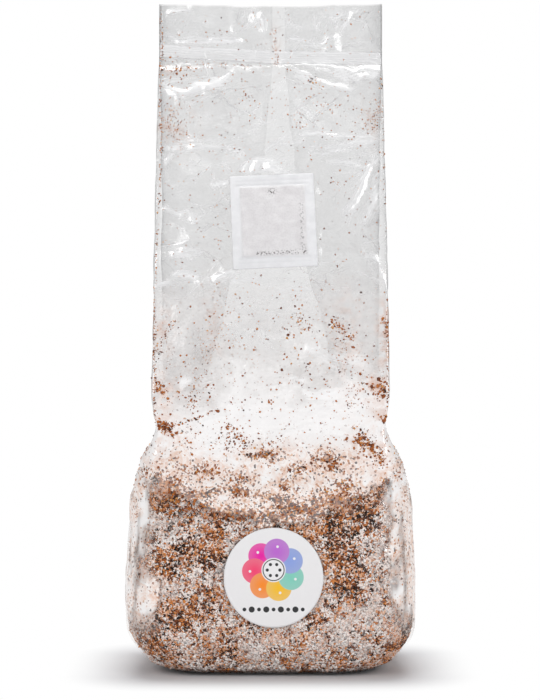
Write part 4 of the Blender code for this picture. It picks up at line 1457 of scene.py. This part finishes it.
def label():
    rings, spokes = LABEL_GRID
    radius = np.linspace(0, LABEL_RADIUS, rings + 1)[1:, None]
    angle = (np.arange(spokes) * 2 * math.pi / spokes)[None, :]
    x = LABEL_CENTRE[0] + radius * np.cos(angle)
    z = LABEL_CENTRE[1] + radius * np.sin(angle)
    flat = np.stack([x, np.zeros_like(x), z], -1)
    wrinkle = 0.00016 * layered_noise(flat, 0.014, 58)
    layers = []
    for lift in LABEL_LIFTS:
        y = plain_front(x, z) - lift - wrinkle
        hub = [[LABEL_CENTRE[0], float(plain_front(*map(np.array, LABEL_CENTRE))) - lift, LABEL_CENTRE[1]]]
        layers.append(np.concatenate([np.stack([x, y, z], -1).reshape(-1, 3), hub]))
    count = len(layers[0])
    step = np.arange(spokes)
    following = (step + 1) % spokes
    centre = fan(0, spokes, count - 1)
    disc = ring_faces(rings, spokes)
    last = (rings - 1) * spokes
    rim = np.stack([last + step + count, last + following + count, last + following, last + step], -1)
    faces = [disc[:, ::-1], centre, disc + count, centre[:, ::-1] + count, rim]
    piece = mesh_object("sticker", np.concatenate(layers), faces, label_material())
    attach(piece, "root")
    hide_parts("label")


# Studio

def area_light(name, place, size, brightness):
    """A rectangular lamp whose power follows from how bright its face is, 1 being white."""
    data = bpy.data.lights.new(name, "AREA")
    data.shape = "RECTANGLE"
    data.size, data.size_y = size
    data.energy = brightness * math.pi * size[0] * size[1]
    light = bpy.data.objects.new(name, data)
    light.location = place
    light.rotation_euler = (Vector(LAMP_TARGET) - Vector(place)).to_track_quat("-Z", "Y").to_euler()
    bpy.context.scene.collection.objects.link(light)


def white_world(scene):
    """White to the eye and through the film, and dimmer as a source of light."""
    scene.world = bpy.data.worlds.new("white_studio")
    n = Nodes(scene.world, "ShaderNodeOutputWorld")
    path = n.add("ShaderNodeLightPath").outputs
    seen = n.math("MAXIMUM", path["Is Camera Ray"], path["Is Transmission Ray"])
    strength = n.span(seen, 0, 1, 0.45, 1.0)
    n.surface(n.fill(n.add("ShaderNodeBackground"), Color=(1, 1, 1), Strength=strength)[0])


# Lamps: name, place, width and height, and brightness
LAMPS = (
    ("key_left", (-0.95, -1.25, 0.85), (0.50, 1.30), 4.4),
    ("fill_right", (1.05, -1.15, 0.60), (0.34, 1.40), 5.6),
    ("top", (0.0, 0.18, 1.50), (1.0, 0.35), 9),
    ("back", (0.0, 1.4, 0.9), (1.0, 0.5), 3),
)
LAMP_TARGET = (0, 0, 0.25)


def studio():
    scene = bpy.context.scene
    bpy.ops.mesh.primitive_plane_add(size=12, location=(0, 0, 0))
    floor = bpy.context.object
    floor.name = "floor"
    floor.data.materials.append(floor_material())
    white_world(scene)

    for lamp in LAMPS:
        area_light(*lamp)

    data = bpy.data.cameras.new("camera")
    data.sensor_width = SENSOR
    data.lens = SENSOR * CAMERA_DISTANCE / (PHOTO_HEIGHT_PX * PIXEL)
    camera = bpy.data.objects.new("camera", data)
    camera.location = ((PHOTO_CENTRE[0] - BAG_MIDDLE_PX) * PIXEL, -CAMERA_DISTANCE, CAMERA_HEIGHT)
    camera.rotation_euler = (math.pi / 2, 0, 0)
    scene.collection.objects.link(camera)
    scene.camera = camera
    scene.view_settings.view_transform = "Standard"
    scene.cycles.transparent_max_bounces = 40


film_grid = film()
grains(*block())
crumbs(film_grid)
filter_patch()
label()
studio()
